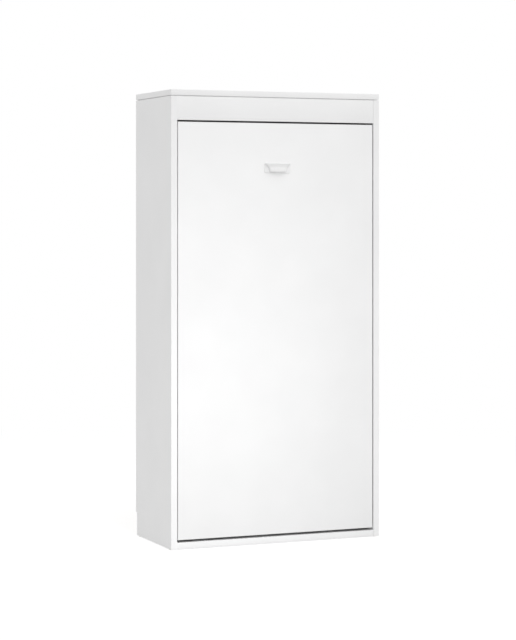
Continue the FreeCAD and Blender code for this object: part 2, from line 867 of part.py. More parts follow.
def make_front_panel():
    """The front panel that closes the cabinet and carries the bed frame."""
    body = new_body("front_panel")
    block = add_box(body, "Additive", -door_half, front, door_bottom,
                    2 * door_half, size.door_thickness, door_top - door_bottom)
    round_edges(body, block, size.door_edge_radius, panel_front_edge)
    for z in bracket_places():
        for sign in SIDES.values():
            add_fastener(body, "Subtractive", "Y", sign * bracket_screw_x(), tube_front - size.screw_bite,
                         z, size.screw_diameter, size.screw_bite)
    for sign in SIDES.values():
        add_fastener(body, "Subtractive", "Y", sign * size.handle_screw_spacing / 2, front,
                     handle_middle, size.screw_diameter, size.door_thickness)


def panel_front_edge(edge):
    """A test for the four edges round the front face of the front panel."""
    return edge.BoundBox.YMax < front.number + size.door_edge_radius.number


handle_bottom = door_top - size.handle_drop - size.handle_height
handle_middle = handle_bottom + size.handle_height / 2


def draw_scoop(sketch, half, base, rise, corner):
    """The outline of a scoop seen from above: a straight back, and a front with faceted round corners."""
    outline = [(half, base)]
    for inward, back in SCOOP_CORNER_SHARES:
        outline.append((half - inward * corner, base - rise + back * corner))
    for inward, back in reversed(SCOOP_CORNER_SHARES):
        outline.append((inward * corner - half, base - rise + back * corner))
    outline.append((-half, base))
    draw_shape(sketch, outline)


def make_handle():
    """A scoop pull: a flat back plate and a cup, open at the top, with a wide lip that flares out."""
    body = new_body("handle")
    plate = size.handle_plate
    block = add_box(body, "Additive", -size.handle_width / 2, front - plate, handle_bottom,
                    size.handle_width, plate, size.handle_height)
    round_edges(body, block, size.handle_plate_corner, runs_along("y"))
    wall = size.handle_wall
    levels = (
        (handle_base, size.handle_base_width / 2, size.handle_base_depth),
        (handle_neck, size.handle_neck_width / 2, size.handle_neck_depth),
        (handle_mouth_top, size.handle_mouth_width / 2, size.handle_projection - plate),
    )
    for kind, inset in (("AdditiveLoft", 0), ("SubtractiveLoft", wall)):
        sections = []
        for z, half, rise in levels:
            lift = inset if z is handle_base else 0
            section = new_sketch(body, "section", "XY_Plane", z + lift)
            draw_scoop(section, half - inset, front - plate, rise - inset, size.handle_corner - inset)
            sections.append(section)
        doc.recompute()
        loft = body.newObject(f"PartDesign::{kind}", kind.lower())
        loft.Profile = sections[0]
        loft.Sections = [(section, [""]) for section in sections[1:]]
        loft.Ruled = True
    for sign in SIDES.values():
        add_fastener(body, "Subtractive", "Y", sign * size.handle_screw_spacing / 2,
                     front - size.handle_screw_bite, handle_middle, size.screw_diameter,
                     size.handle_screw_bite)


handle_base = handle_bottom + size.handle_base_height
handle_neck = handle_bottom + size.handle_neck_height
handle_mouth_top = handle_bottom + size.handle_mouth_height


def make_panel_fasteners():
    """The angle brackets behind the front panel, their screws and the screws of the handle."""
    brackets = new_group("panel_brackets")
    screws = new_group("panel_screws")
    thick = size.bracket_thickness
    leg = size.bracket_leg
    head = size.screw_head_height
    for z in bracket_places():
        low = z - size.bracket_length / 2
        for sign in SIDES.values():
            inner = rail_inner - thick
            side_x = inner if sign > 0 else -rail_inner
            flat_x = rail_inner - leg - thick if sign > 0 else -rail_inner
            add_box(brackets, "Additive", side_x, tube_front, low, thick, leg, size.bracket_length)
            add_box(brackets, "Additive", flat_x, tube_front, low, leg + thick, thick, size.bracket_length)
            x = sign * bracket_screw_x()
            add_fastener(brackets, "Subtractive", "Y", x, tube_front, z, size.screw_diameter, thick)
            add_fastener(screws, "Additive", "Y", x, tube_front - size.screw_bite, z,
                         size.screw_diameter, size.screw_bite + thick)
            add_fastener(screws, "Additive", "Y", x, tube_front + thick, z,
                         size.screw_head_diameter, head, HEAD_SIDES)
    for sign in SIDES.values():
        x = sign * size.handle_screw_spacing / 2
        add_fastener(screws, "Additive", "Y", x, front - size.handle_screw_bite, handle_middle,
                     size.screw_diameter, size.handle_screw_bite + size.door_thickness)
        add_fastener(screws, "Additive", "Y", x, tube_front, handle_middle,
                     size.screw_head_diameter, head, HEAD_SIDES)


# Bed frame

def bed_screw_heights():
    """Heights of the screws that hold a bed plate to its rail."""
    return [pivot_z + share * strut_radius for share in BED_PLATE_SCREW_SHARES]


def leg_screw_heights():
    """Heights of the screws that hold a leg plate to its rail."""
    return [leg_hinge_z - share * size.leg_plate_length for share in LEG_PLATE_SCREW_SHARES]


def make_side_rail(name, sign):
    """A side rail of the bed frame, drilled for its bush, its stud and its plate screws."""
    start = rail_inner if sign > 0 else -rail_half
    body = make_tube(name, start, tube_front, frame_bottom,
                     size.tube_width, size.tube_depth, size.mattress_length, "z")
    wall = size.tube_wall
    hole_x = size.tube_width - wall if sign > 0 else 0
    for y, z, diameter in (
        (pivot_y, pivot_z, size.bush_diameter),
        (lower_stud_y, lower_stud_z, size.stud_diameter),
    ):
        add_cylinder(body, "Subtractive", "X", hole_x, y - tube_front, z - frame_bottom, diameter, wall)
    for z in bed_screw_heights() + leg_screw_heights():
        add_fastener(body, "Subtractive", "X", hole_x, tube_middle - tube_front, z - frame_bottom,
                     size.plate_screw_diameter, wall)


def make_bed_frame():
    """The welded tube frame and the plastic caps in its open ends."""
    for side, sign in SIDES.items():
        make_side_rail(f"side_rail_{side}", sign)
    width = 2 * rail_inner
    for name, z in (("head_rail", frame_bottom), ("foot_rail", frame_top - size.tube_width)):
        make_tube(name, -rail_inner, tube_front, z, width, size.tube_depth, size.tube_width, "x")
    make_cross_rails(width)
    caps = new_group("rail_end_caps")
    wall = size.tube_wall
    for sign in SIDES.values():
        x = rail_inner if sign > 0 else -rail_half
        for flange_z, plug_z in ((frame_bottom - size.cap_flange, frame_bottom),
                                 (frame_top, frame_top - size.cap_plug)):
            add_box(caps, "Additive", x, tube_front, flange_z,
                    size.tube_width, size.tube_depth, size.cap_flange)
            add_box(caps, "Additive", x + wall, tube_front + wall, plug_z,
                    size.tube_width - 2 * wall, size.tube_depth - 2 * wall, size.cap_plug)


def make_cross_rails(width):
    """Two lower tubes across the frame, which stiffen the front panel."""
    body = new_group("cross_rails")
    wall = size.tube_wall
    lift = size.cross_tube_lift
    for z in (frame_bottom + lift, frame_top - lift - size.tube_width):
        add_box(body, "Additive", -rail_inner, tube_front, z, width, size.cross_tube_depth, size.tube_width)
        add_box(body, "Subtractive", -rail_inner, tube_front + wall, z + wall, width,
                size.cross_tube_depth - 2 * wall, size.tube_width - 2 * wall)


def make_bed_hardware():
    """Plates, bushes, studs and screws on the outside of the side rails."""
    bushes = new_group("pivot_bushes")
    studs = new_group("lower_strut_studs")
    screws = new_group("bed_plate_screws")
    pins = new_group("leg_pins")
    leg_plates = new_group("leg_plates")
    eye_half = size.eye_width / 2
    for side, sign in SIDES.items():
        make_bed_plate(f"bed_pivot_plate_{side}", sign)
        add_leg_plate(leg_plates, sign)
        mirrored_cylinder(bushes, "Additive", sign, bed_plate_face - size.bush_length, bed_plate_face,
                          pivot_y, pivot_z, size.bush_diameter)
        mirrored_cylinder(bushes, "Subtractive", sign, bed_plate_face - size.bush_length, bed_plate_face,
                          pivot_y, pivot_z, size.pin_diameter + 2 * size.running_clearance)
        head_end = strut_x + eye_half + size.eye_side_clearance + size.stud_head_height
        mirrored_cylinder(studs, "Additive", sign, rail_half - size.tube_wall, head_end,
                          lower_stud_y, lower_stud_z, size.stud_diameter)
        mirrored_fastener(studs, "Additive", sign, head_end - size.stud_head_height, head_end,
                          lower_stud_y, lower_stud_z, size.stud_head, DISC_SIDES)
        mirrored_fastener(studs, "Additive", sign, bed_plate_face,
                          strut_x - eye_half - size.eye_side_clearance,
                          lower_stud_y, lower_stud_z, size.stud_shoulder, DISC_SIDES)
        for z in bed_screw_heights():
            plate_screw(screws, sign, bed_plate_face, z)
        for z in leg_screw_heights():
            plate_screw(screws, sign, rail_half + size.leg_plate_thickness, z)
        pin_end = leg_x + size.leg_lug_thickness / 2 + size.leg_side_clearance
        plate_inside = rail_half - size.leg_pin_head_height
        mirrored_cylinder(pins, "Additive", sign, rail_half, pin_end,
                          leg_hinge_y, leg_hinge_z, size.leg_pin_diameter)
        mirrored_fastener(pins, "Additive", sign, plate_inside, rail_half,
                          leg_hinge_y, leg_hinge_z, size.leg_pin_head, DISC_SIDES)
        mirrored_fastener(pins, "Additive", sign, pin_end, pin_end + size.leg_pin_head_height,
                          leg_hinge_y, leg_hinge_z, size.leg_pin_head, DISC_SIDES)


def plate_screw(group, sign, face, z):
    """A low-headed screw that holds a plate to the outside of a side rail."""
    head = size.screw_head_height
    mirrored_fastener(group, "Additive", sign, rail_half - size.tube_wall, face,
                      tube_middle, z, size.plate_screw_diameter)
    mirrored_fastener(group, "Additive", sign, face, face + head,
                      tube_middle, z, size.screw_head_diameter, HEAD_SIDES)


def make_bed_plate(name, sign):
    """The plate on a side rail that holds the fold bush and the lower strut stud."""
    body = new_body(name)
    margin = size.plate_margin
    start = rail_half if sign > 0 else -bed_plate_face
    block = add_box(body, "Additive", start, tube_middle - size.bed_plate_width / 2, lower_stud_z - margin,
                    size.bed_plate_thickness, size.bed_plate_width,
                    strut_radius + margin + size.plate_shoulder)
    round_edges(body, block, size.plate_corner, runs_along("x"))
    for y, z, diameter in (
        (pivot_y, pivot_z, size.bush_diameter),
        (lower_stud_y, lower_stud_z, size.stud_diameter),
    ):
        mirrored_cylinder(body, "Subtractive", sign, rail_half, bed_plate_face, y, z, diameter)
    for z in bed_screw_heights():
        mirrored_fastener(body, "Subtractive", sign, rail_half, bed_plate_face,
                          tube_middle, z, size.plate_screw_diameter)


def add_leg_plate(group, sign):
    """A plate that carries the hinge of the folding foot past the end of a side rail."""
    thick = size.leg_plate_thickness
    face = rail_half + thick
    start = rail_half if sign > 0 else -face
    add_box(group, "Additive", start, leg_hinge_y - size.leg_plate_width / 2,
            leg_hinge_z - size.leg_plate_length, thick, size.leg_plate_width, size.leg_plate_length)
    mirrored_cylinder(group, "Additive", sign, rail_half, face,
                      leg_hinge_y, leg_hinge_z, 2 * size.leg_plate_nose)
    mirrored_cylinder(group, "Subtractive", sign, rail_half, face,
                      leg_hinge_y, leg_hinge_z, size.leg_pin_diameter)
    for z in leg_screw_heights():
        mirrored_fastener(group, "Subtractive", sign, rail_half, face,
                          tube_middle, z, size.plate_screw_diameter)


# Slats

slat_seat = tube_back + size.holder_wall + size.slat_clearance / 2
slat_pitch = (size.mattress_length - 2 * size.slat_end_margin) / (SLAT_COUNT - 1)
slat_half = rail_half - size.holder_end_wall - size.slat_clearance
holder_inner = rail_half - size.holder_width


def slat_height(number):
    """The middle height of a slat, counted from 1 at the head."""
    return frame_bottom + size.slat_end_margin + (number - 1) * slat_pitch


def make_slat(name, z):
    """A bowed slat, pressed from beech, which rises in the middle."""
    body = new_body(name)
    sketch = new_sketch(body, "section", "XY_Plane")
    low = slat_seat
    high = slat_seat + size.slat_thickness
    bow = size.slat_bow
    radius = (slat_half * slat_half + bow * bow) / (2 * bow)
    draw_shape(sketch, [
        (slat_half, low),
        (slat_half, high, (0, high + bow), radius),
        (-slat_half, high),
        (-slat_half, low, (0, low + bow), radius),
    ])
    doc.recompute()
    add_pad(body, sketch, size.slat_width)
    place(body, 0, 0, z - size.slat_width / 2)


def make_slats():
    """All slats, and the plastic holders that carry their ends on the side rails."""
    for number in range(1, SLAT_COUNT + 1):
        make_slat(f"slat_{number:02d}", slat_height(number))
    holders = new_group("slat_holders")
    gap = size.slat_clearance
    z = slat_height(1)
    features = []
    for sign in SIDES.values():
        start = holder_inner if sign > 0 else -rail_half
        features.append(add_box(holders, "Additive", start, tube_back, z - size.holder_length / 2,
                                size.holder_width, size.holder_height, size.holder_length))
        inner = holder_inner if sign > 0 else -slat_half - gap
        features.append(add_box(holders, "Subtractive", inner, tube_back + size.holder_wall,
                                z - size.slat_width / 2 - gap, slat_half + gap - holder_inner,
                                size.slat_thickness + 2 * gap + size.slat_slope,
                                size.slat_width + 2 * gap))
    doc.recompute()
    pattern = holders.newObject("PartDesign::LinearPattern", "along_the_rails")
    pattern.Originals = features
    pattern.Direction = (origin_plane(holders, "Z_Axis"), [""])
    pattern.setExpression("Length", formula_of((SLAT_COUNT - 1) * slat_pitch))
    pattern.Occurrences = SLAT_COUNT
    holders.Tip = pattern


# Mattress and the straps that hold it when the bed is upright

def make_mattress():
    """The mattress, a closed soft block with rounded corners and edges."""
    body = new_body("mattress")
    block = add_box(body, "Additive", -mattress_half, mattress_front, frame_bottom,
                    size.mattress_width, size.mattress_thickness, size.mattress_length)
    doc.recompute()
    chosen = runs_along("y")
    names = [f"Edge{place}" for place, edge in enumerate(block.Shape.Edges, 1) if chosen(edge)]
    corners = body.newObject("PartDesign::Chamfer", "corners")
    corners.Base = (block, names)
    corners.setExpression("Size", formula_of(size.mattress_corner))
    round_edges(body, corners, size.mattress_edge, mattress_rim)


def mattress_rim(edge):
    """A test for the edges round the two large faces of the mattress."""
    return edge.BoundBox.YLength < size.board_edge_radius.number


def make_straps():
    """Two webbing straps over the mattress, tabbed to the side rails, with their buckles."""
    gap = size.strap_clearance
    thick = size.strap_thickness
    inner = mattress_half + gap
    outer = inner + thick
    top = mattress_back + gap
    bend = size.mattress_edge + gap
    bend_out = bend + thick
    corner = 1 - cosine_of(45)
    straps = new_group("retaining_straps")
    buckles = new_group("strap_buckles")
    for after in STRAP_AFTER_SLATS:
        z = slat_height(after) + slat_pitch / 2
        sketch = new_sketch(straps, "section", "XY_Plane", z - size.strap_width / 2)
        draw_shape(sketch, [
            (inner, tube_back),
            (inner + size.strap_tab, tube_back),
            (inner + size.strap_tab, tube_back + thick),
            (outer, tube_back + thick),
            (outer, top - bend, (outer - corner * bend_out, top + thick - corner * bend_out), bend_out),
            (outer - bend_out, top + thick),
            (bend_out - outer, top + thick,
             (corner * bend_out - outer, top + thick - corner * bend_out), bend_out),
            (-outer, top - bend),
            (-outer, tube_back + thick),
            (-inner - size.strap_tab, tube_back + thick),
            (-inner - size.strap_tab, tube_back),
            (-inner, tube_back),
            (-inner, top - bend, (corner * bend - inner, top - corner * bend), bend),
            (bend - inner, top),
            (inner - bend, top, (inner - corner * bend, top - corner * bend), bend),
            (inner, top - bend),
        ])
        doc.recompute()
        add_pad(straps, sketch, size.strap_width)
        add_box(buckles, "Additive", -size.buckle_length / 2, top + thick, z - size.buckle_width / 2,
                size.buckle_length, size.buckle_height, size.buckle_width)


# Gas struts

def eye(body, sign):
    """A ring at the body's origin that turns on a stud."""
    half = size.eye_width / 2
    add_cylinder(body, "Additive", "X", -half, 0, 0, size.eye_diameter, size.eye_width)
    add_cylinder(body, "Subtractive", "X", -half, 0, 0,
                 size.stud_diameter + 2 * size.running_clearance, size.eye_width)


def make_strut(side, sign):
    """A gas strut: a cylinder that hangs from the cabinet and a rod that rises from the bed."""
    outer = size.cylinder_diameter / 2
    bore = outer - size.cylinder_wall
    neck = size.eye_neck / 2
    neck_start = size.eye_diameter / 2 - size.eye_sink
    top = size.cylinder_neck
    wall = size.cylinder_end_wall
    end = strut_open - size.cylinder_end_gap
    guide = size.rod_diameter / 2 + size.running_clearance
    cylinder = new_body(f"{side}_strut_cylinder")
    add_turned(cylinder, [
        (0, -neck_start),
        (neck, -neck_start),
        (neck, -top),
        (outer, -top),
        (outer, -end),
        (guide, -end),
        (guide, wall - end),
        (bore, wall - end),
        (bore, -top - wall),
        (0, -top - wall),
    ])
    eye(cylinder, sign)
    place(cylinder, sign * strut_x, upper_stud_y, upper_stud_z, "vector(1; 0; 0)", -strut_lean)
    rod = new_body(f"{side}_strut_rod")
    thin = size.rod_diameter / 2
    piston = bore - size.running_clearance
    tip = strut_open - size.rod_tip_gap
    add_turned(rod, [
        (0, neck_start),
        (neck, neck_start),
        (neck, top + wall),
        (thin, top + wall),
        (thin, tip - size.piston_height),
        (piston, tip - size.piston_height),
        (piston, tip),
        (0, tip),
    ])
    eye(rod, sign)
    place(rod, sign * strut_x, lower_stud_y, lower_stud_z, "vector(1; 0; 0)", -strut_lean)


# Folding foot

def make_folding_foot():
    """A bowed tube across the foot end, hung from two lugs, with rubber sleeves where it stands."""
    body = new_body("folding_foot")
    spine = new_sketch(body, "spine", "XZ_Plane", size.leg_offset)
    bend = size.leg_bend
    corner = 1 - cosine_of(45)
    draw_open_path(spine, [
        (-leg_x, 0),
        (-leg_x, bend - leg_drop, (corner * bend - leg_x, corner * bend - leg_drop), bend),
        (bend - leg_x, -leg_drop),
        (leg_x - bend, -leg_drop, (leg_x - corner * bend, corner * bend - leg_drop), bend),
        (leg_x, bend - leg_drop),
        (leg_x, 0),
    ])
    ring = new_sketch(body, "ring", "XY_Plane")
    draw_polygon(ring, -leg_x, -size.leg_offset, size.leg_tube, BAR_SIDES)
    doc.recompute()
    pipe = body.newObject("PartDesign::AdditivePipe", "bow")
    pipe.Profile = ring
    pipe.Spine = (spine, [])
    doc.recompute()
    radius = size.leg_lug_radius
    for sign in SIDES.values():
        start = leg_x - size.leg_lug_thickness / 2 if sign > 0 else -leg_x - size.leg_lug_thickness / 2
        lug = new_sketch(body, "lug", "YZ_Plane", start)
        draw_shape(lug, [
            (0, -radius),
            (0, radius),
            (-size.leg_offset, 0),
            (-size.leg_offset, -size.leg_lug_length),
        ])
        doc.recompute()
        add_pad(body, lug, size.leg_lug_thickness)
        add_cylinder(body, "Additive", "X", start, 0, 0, 2 * radius, size.leg_lug_thickness)
        add_cylinder(body, "Subtractive", "X", start, 0, 0,
                     size.leg_pin_diameter + 2 * size.running_clearance, size.leg_lug_thickness)
    place(body, 0, leg_hinge_y, leg_hinge_z, "vector(1; 0; 0)", leg_turn)
    sleeves = new_group("foot_sleeves")
    for sign in SIDES.values():
        start = sign * size.foot_sleeve_spread / 2 - size.foot_sleeve_length / 2
        add_fastener(sleeves, "Additive", "X", start, -size.leg_offset, -leg_drop,
                     size.foot_sleeve_diameter, size.foot_sleeve_length, DISC_SIDES)
        add_fastener(sleeves, "Subtractive", "X", start, -size.leg_offset, -leg_drop,
                     size.leg_tube, size.foot_sleeve_length, BAR_SIDES)
    place(sleeves, 0, leg_hinge_y, leg_hinge_z, "vector(1; 0; 0)", leg_turn)


def draw_open_path(sketch, corners):
    """An open run of lines and arcs, written as draw_shape's corners are."""
    ends = []
    for here, there in zip(corners, corners[1:]):
        start = FreeCAD.Vector(number_of(here[0]), number_of(here[1]), 0)
        end = FreeCAD.Vector(number_of(there[0]), number_of(there[1]), 0)
        if len(here) == 2:
            index = sketch.addGeometry(Part.LineSegment(start, end))
        else:
            middle = FreeCAD.Vector(number_of(here[2][0]), number_of(here[2][1]), 0)
            index = sketch.addGeometry(Part.Arc(start, middle, end))
            datum = sketch.addConstraint(Sketcher.Constraint("Radius", index, number_of(here[3])))
            sketch.setExpression(f"Constraints[{datum}]", formula_of(here[3]))
        ends.append(index)
    for index, following in zip(ends, ends[1:]):
        sketch.addConstraint(Sketcher.Constraint("Coincident", index, 2, following, 1))
    for index, corner in zip(ends, corners):
        hold(sketch, index, 1, corner[0], corner[1])
    hold(sketch, ends[-1], 2, corners[-1][0], corners[-1][1])


# Build everything, test it and write it out

make_cabinet_boards()
make_cabinet_fittings()
make_cabinet_hardware()
make_front_panel()
make_handle()
make_panel_fasteners()
make_bed_frame()
make_bed_hardware()
make_slats()
make_mattress()
make_straps()
for side_name, side_sign in SIDES.items():
    make_strut(side_name, side_sign)
make_folding_foot()
doc.recompute()

faults = []
for item in doc.Objects:
    if "Invalid" in item.State or "Error" in item.State:
        faults.append(item.Label)
for body in bodies:
    if body.Shape.isNull() or not body.Shape.isValid():
        faults.append(body.Label)
if faults:
    raise RuntimeError("These objects failed: " + ", ".join(sorted(set(faults))))

os.makedirs("parts", exist_ok=True)
for body in bodies:
    body.Shape.exportStep(f"parts/{body.Label}.step")
print(f"{len(bodies)} parts written")
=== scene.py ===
import json
import math

import bmesh
import bpy
from mathutils import Matrix, Vector
from mathutils.bvhtree import BVHTree


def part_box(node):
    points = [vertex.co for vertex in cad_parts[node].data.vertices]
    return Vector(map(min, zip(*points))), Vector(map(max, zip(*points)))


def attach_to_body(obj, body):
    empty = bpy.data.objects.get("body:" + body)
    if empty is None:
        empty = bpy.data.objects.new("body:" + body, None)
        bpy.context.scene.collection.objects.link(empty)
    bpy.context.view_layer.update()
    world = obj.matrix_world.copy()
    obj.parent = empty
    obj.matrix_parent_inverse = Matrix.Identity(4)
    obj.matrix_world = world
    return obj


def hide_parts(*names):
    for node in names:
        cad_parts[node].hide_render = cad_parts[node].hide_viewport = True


# Wall bed: a white cabinet with a front panel that folds down with a single bed.
# Metres throughout.  X runs across the cabinet, -Y points out of its front, Z is up.

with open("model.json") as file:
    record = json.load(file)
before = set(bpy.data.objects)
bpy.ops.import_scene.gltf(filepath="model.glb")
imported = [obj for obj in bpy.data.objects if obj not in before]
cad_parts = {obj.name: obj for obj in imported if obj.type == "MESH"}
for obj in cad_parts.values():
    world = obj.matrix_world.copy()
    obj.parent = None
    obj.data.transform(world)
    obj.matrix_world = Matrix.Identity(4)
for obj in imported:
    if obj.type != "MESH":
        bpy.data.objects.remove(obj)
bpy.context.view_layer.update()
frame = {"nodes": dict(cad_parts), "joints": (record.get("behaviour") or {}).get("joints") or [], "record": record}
scene = bpy.context.scene
cad = frame["nodes"]

MM = 0.001
BOX = {name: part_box(name) for name in cad}
JOINTS = {joint["name"]: joint for joint in frame["joints"]}


# Camera, as the photograph was taken

CAMERA_PLACE = (-3.856, -9.182, 1.583)
CAMERA_TURN = -22.77
CAMERA_LENS = 115.2
CAMERA_SHIFT = -0.1705
CAMERA_SENSOR = 36
CAMERA_REACH = 200

lens = bpy.data.cameras.new("camera")
lens.lens = CAMERA_LENS
lens.sensor_width = CAMERA_SENSOR
lens.shift_y = CAMERA_SHIFT
lens.clip_end = CAMERA_REACH
camera = bpy.data.objects.new("camera", lens)
camera.location = CAMERA_PLACE
camera.rotation_euler = (math.radians(90), 0, math.radians(CAMERA_TURN))
scene.collection.objects.link(camera)
scene.camera = camera
scene.view_settings.view_transform = "Standard"


# Nodes and colours

def add_node(tree, kind, inputs=None, **settings):
    """A node with its settings, each named input given a value or another node's output."""
    node = tree.nodes.new(kind)
    for name, value in settings.items():
        setattr(node, name, value)
    for name, value in (inputs or {}).items():
        if isinstance(value, bpy.types.NodeSocket):
            tree.links.new(value, node.inputs[name])
        else:
            node.inputs[name].default_value = value
    return node


def colour(text):
    """A linear colour from its sRGB hex digits."""
    linear = []
    for place in (0, 2, 4):
        value = int(text[place:place + 2], 16) / 255
        linear.append(value / 12.92 if value <= 0.04045 else ((value + 0.055) / 1.055) ** 2.4)
    return (*linear, 1)


def new_finish(name, roughness, **shader_values):
    """A material with its shader, and the place on the object that its patterns read."""
    material = bpy.data.materials.new(name)
    material.use_nodes = True
    tree = material.node_tree
    tree.nodes.clear()
    shader = add_node(tree, "ShaderNodeBsdfPrincipled", {"Roughness": roughness})
    for socket, value in shader_values.items():
        shader.inputs[socket.replace("_", " ")].default_value = value
    add_node(tree, "ShaderNodeOutputMaterial", {"Surface": shader.outputs["BSDF"]})
    place = add_node(tree, "ShaderNodeTexCoord").outputs["Object"]
    return material, tree, shader, place


def noise(tree, place, grain_mm, detail=2.0, stretch=None):
    """Noise whose grains are so many millimetres across, drawn out along the axes that stretch names."""
    if stretch:
        place = add_node(tree, "ShaderNodeMapping", {"Vector": place, "Scale": stretch}).outputs["Vector"]
    return add_node(tree, "ShaderNodeTexNoise", {
        "Vector": place, "Scale": 1 / (grain_mm * MM), "Detail": detail,
    }).outputs["Fac"]


def between(tree, factor, low, high, start=0.3, end=0.7):
    """A colour between two, as a pattern goes from start to end."""
    ramp = add_node(tree, "ShaderNodeValToRGB", {"Fac": factor})
    ramp.color_ramp.elements[0].position = start
    ramp.color_ramp.elements[0].color = colour(low)
    ramp.color_ramp.elements[1].position = end
    ramp.color_ramp.elements[1].color = colour(high)
    return ramp.outputs["Color"]


def spread(tree, factor, low, high):
    """A number between two, as a pattern goes from 0.25 to 0.75."""
    return add_node(tree, "ShaderNodeMapRange", {
        "Value": factor, "From Min": 0.25, "From Max": 0.75, "To Min": low, "To Max": high,
    }).outputs["Result"]


def raise_surface(tree, shader, height, depth_mm, strength=1.0):
    """Bump of so many millimetres from a pattern."""
    bump = add_node(tree, "ShaderNodeBump", {
        "Height": height, "Distance": depth_mm * MM, "Strength": strength,
    })
    tree.links.new(bump.outputs["Normal"], shader.inputs["Normal"])


def wave(tree, place, size_mm, direction, **shape):
    """Waves across one direction.  They repeat every 0.63 of the size."""
    return add_node(tree, "ShaderNodeTexWave", {
        "Vector": place, "Scale": 1 / (size_mm * MM) / 2, **shape,
    }, bands_direction=direction).outputs["Fac"]


def coat(tree, shader, pattern, colours, roughness):
    """Vary the colour and the roughness by one pattern, each between two values."""
    tree.links.new(between(tree, pattern, *colours), shader.inputs["Base Color"])
    tree.links.new(spread(tree, pattern, *roughness), shader.inputs["Roughness"])


# Finishes, each named for what the real one is

def melamine_board():
    """Melamine paper pressed on chipboard: even white with a fine pearl grain that softens its shine."""
    material, tree, shader, place = new_finish("melamine_board", 0.42, IOR=1.5)
    cloudy = noise(tree, place, 260, 2)
    tint = between(tree, cloudy, "F3F3F3", "F6F6F6")
    tree.links.new(tint, shader.inputs["Base Color"])
    pearl = noise(tree, place, 1.6, 3)
    tree.links.new(spread(tree, pearl, 0.38, 0.47), shader.inputs["Roughness"])
    raise_surface(tree, shader, pearl, 0.03, 0.35)
    return material


def hardboard():
    """Thin hardboard: a white lacquered face towards the bed and raw brown fibre behind."""
    material, tree, shader, place = new_finish("hardboard", 0.6, IOR=1.5)
    fibre = noise(tree, place, 2.5, 5)
    raw = between(tree, fibre, "8F7357", "B4977A")
    face = BOX["back_panel"][0].y + 1.5 * MM
    depth = add_node(tree, "ShaderNodeSeparateXYZ", {"Vector": place}).outputs["Y"]
    behind = add_node(tree, "ShaderNodeMath", {0: depth, 1: face}, operation="GREATER_THAN").outputs[0]
    tint = add_node(tree, "ShaderNodeMix", {"Factor": behind, 6: colour("F2F2F1"), 7: raw},
                    data_type="RGBA").outputs[2]
    tree.links.new(tint, shader.inputs["Base Color"])
    tree.links.new(spread(tree, fibre, 0.5, 0.72), shader.inputs["Roughness"])
    raise_surface(tree, shader, fibre, 0.08, 0.4)
    return material


def painted_zinc():
    """Die-cast zinc with a white powder coat: a smooth skin with a slight orange peel."""
    material, tree, shader, place = new_finish("painted_zinc", 0.3, IOR=1.5)
    peel = noise(tree, place, 2.4, 2)
    coat(tree, shader, peel, ("F4F4F4", "F7F7F7"), (0.26, 0.34))
    raise_surface(tree, shader, peel, 0.015, 0.12)
    return material


def epoxy_tube():
    """Epoxy powder coat on steel tube: silver grey, with fine flakes and a soft shine."""
    material, tree, shader, place = new_finish("epoxy_tube", 0.42, IOR=1.5)
    shader.inputs["Metallic"].default_value = 0.35
    flakes = noise(tree, place, 0.9, 2)
    tree.links.new(between(tree, flakes, "8F9295", "A6A9AC"), shader.inputs["Base Color"])
    peel = noise(tree, place, 2.2, 2)
    tree.links.new(spread(tree, peel, 0.36, 0.5), shader.inputs["Roughness"])
    raise_surface(tree, shader, peel, 0.04, 0.4)
    return material


def zinc_plate():
    """Bright zinc plate on pressed steel: bluish grey with faint cloudy passivation."""
    material, tree, shader, place = new_finish("zinc_plate", 0.34, Metallic=1.0)
    clouds = noise(tree, place, 14, 4)
    coat(tree, shader, clouds, ("B4B9BE", "D2D3CF"), (0.27, 0.42))
    raise_surface(tree, shader, noise(tree, place, 0.7, 2), 0.01, 0.3)
    return material


def beech(name, along):
    """Lacquered beech: pink-tan, with long fine pores and short dark flecks along the grain."""
    material, tree, shader, place = new_finish(name, 0.4, IOR=1.5)
    fibre_stretch = [1.0, 1.0, 1.0]
    fleck_stretch = [1.0, 1.0, 1.0]
    fibre_stretch[along] = 0.02
    fleck_stretch[along] = 0.16
    fibres = noise(tree, place, 1.3, 4, fibre_stretch)
    broad = noise(tree, place, 22, 3, fibre_stretch)
    flecks = noise(tree, place, 0.9, 1, fleck_stretch)
    wood = between(tree, broad, "C99F6E", "DDB988")
    fine = between(tree, fibres, "B98A59", "E3C497", 0.25, 0.75)
    mixed = add_node(tree, "ShaderNodeMix", {"Factor": 0.45, 6: wood, 7: fine}, data_type="RGBA")
    dark = add_node(tree, "ShaderNodeMapRange", {
        "Value": flecks, "From Min": 0.66, "From Max": 0.74, "To Min": 0.0, "To Max": 0.55,
    }).outputs["Result"]
    flecked = add_node(tree, "ShaderNodeMix", {
        "Factor": dark, 6: mixed.outputs[2], 7: colour("8E633C"),
    }, data_type="RGBA")
    tree.links.new(flecked.outputs[2], shader.inputs["Base Color"])
    tree.links.new(spread(tree, fibres, 0.34, 0.48), shader.inputs["Roughness"])
    raise_surface(tree, shader, fibres, 0.05, 0.5)
    return material


def moulded_black():
    """Black polypropylene, moulded with a fine spark-eroded grain."""
    material, tree, shader, place = new_finish("moulded_black", 0.5, IOR=1.49)
    grain = noise(tree, place, 0.9, 2)
    coat(tree, shader, grain, ("1B1C1E", "26272A"), (0.42, 0.58))
    raise_surface(tree, shader, grain, 0.05, 0.5)
    return material


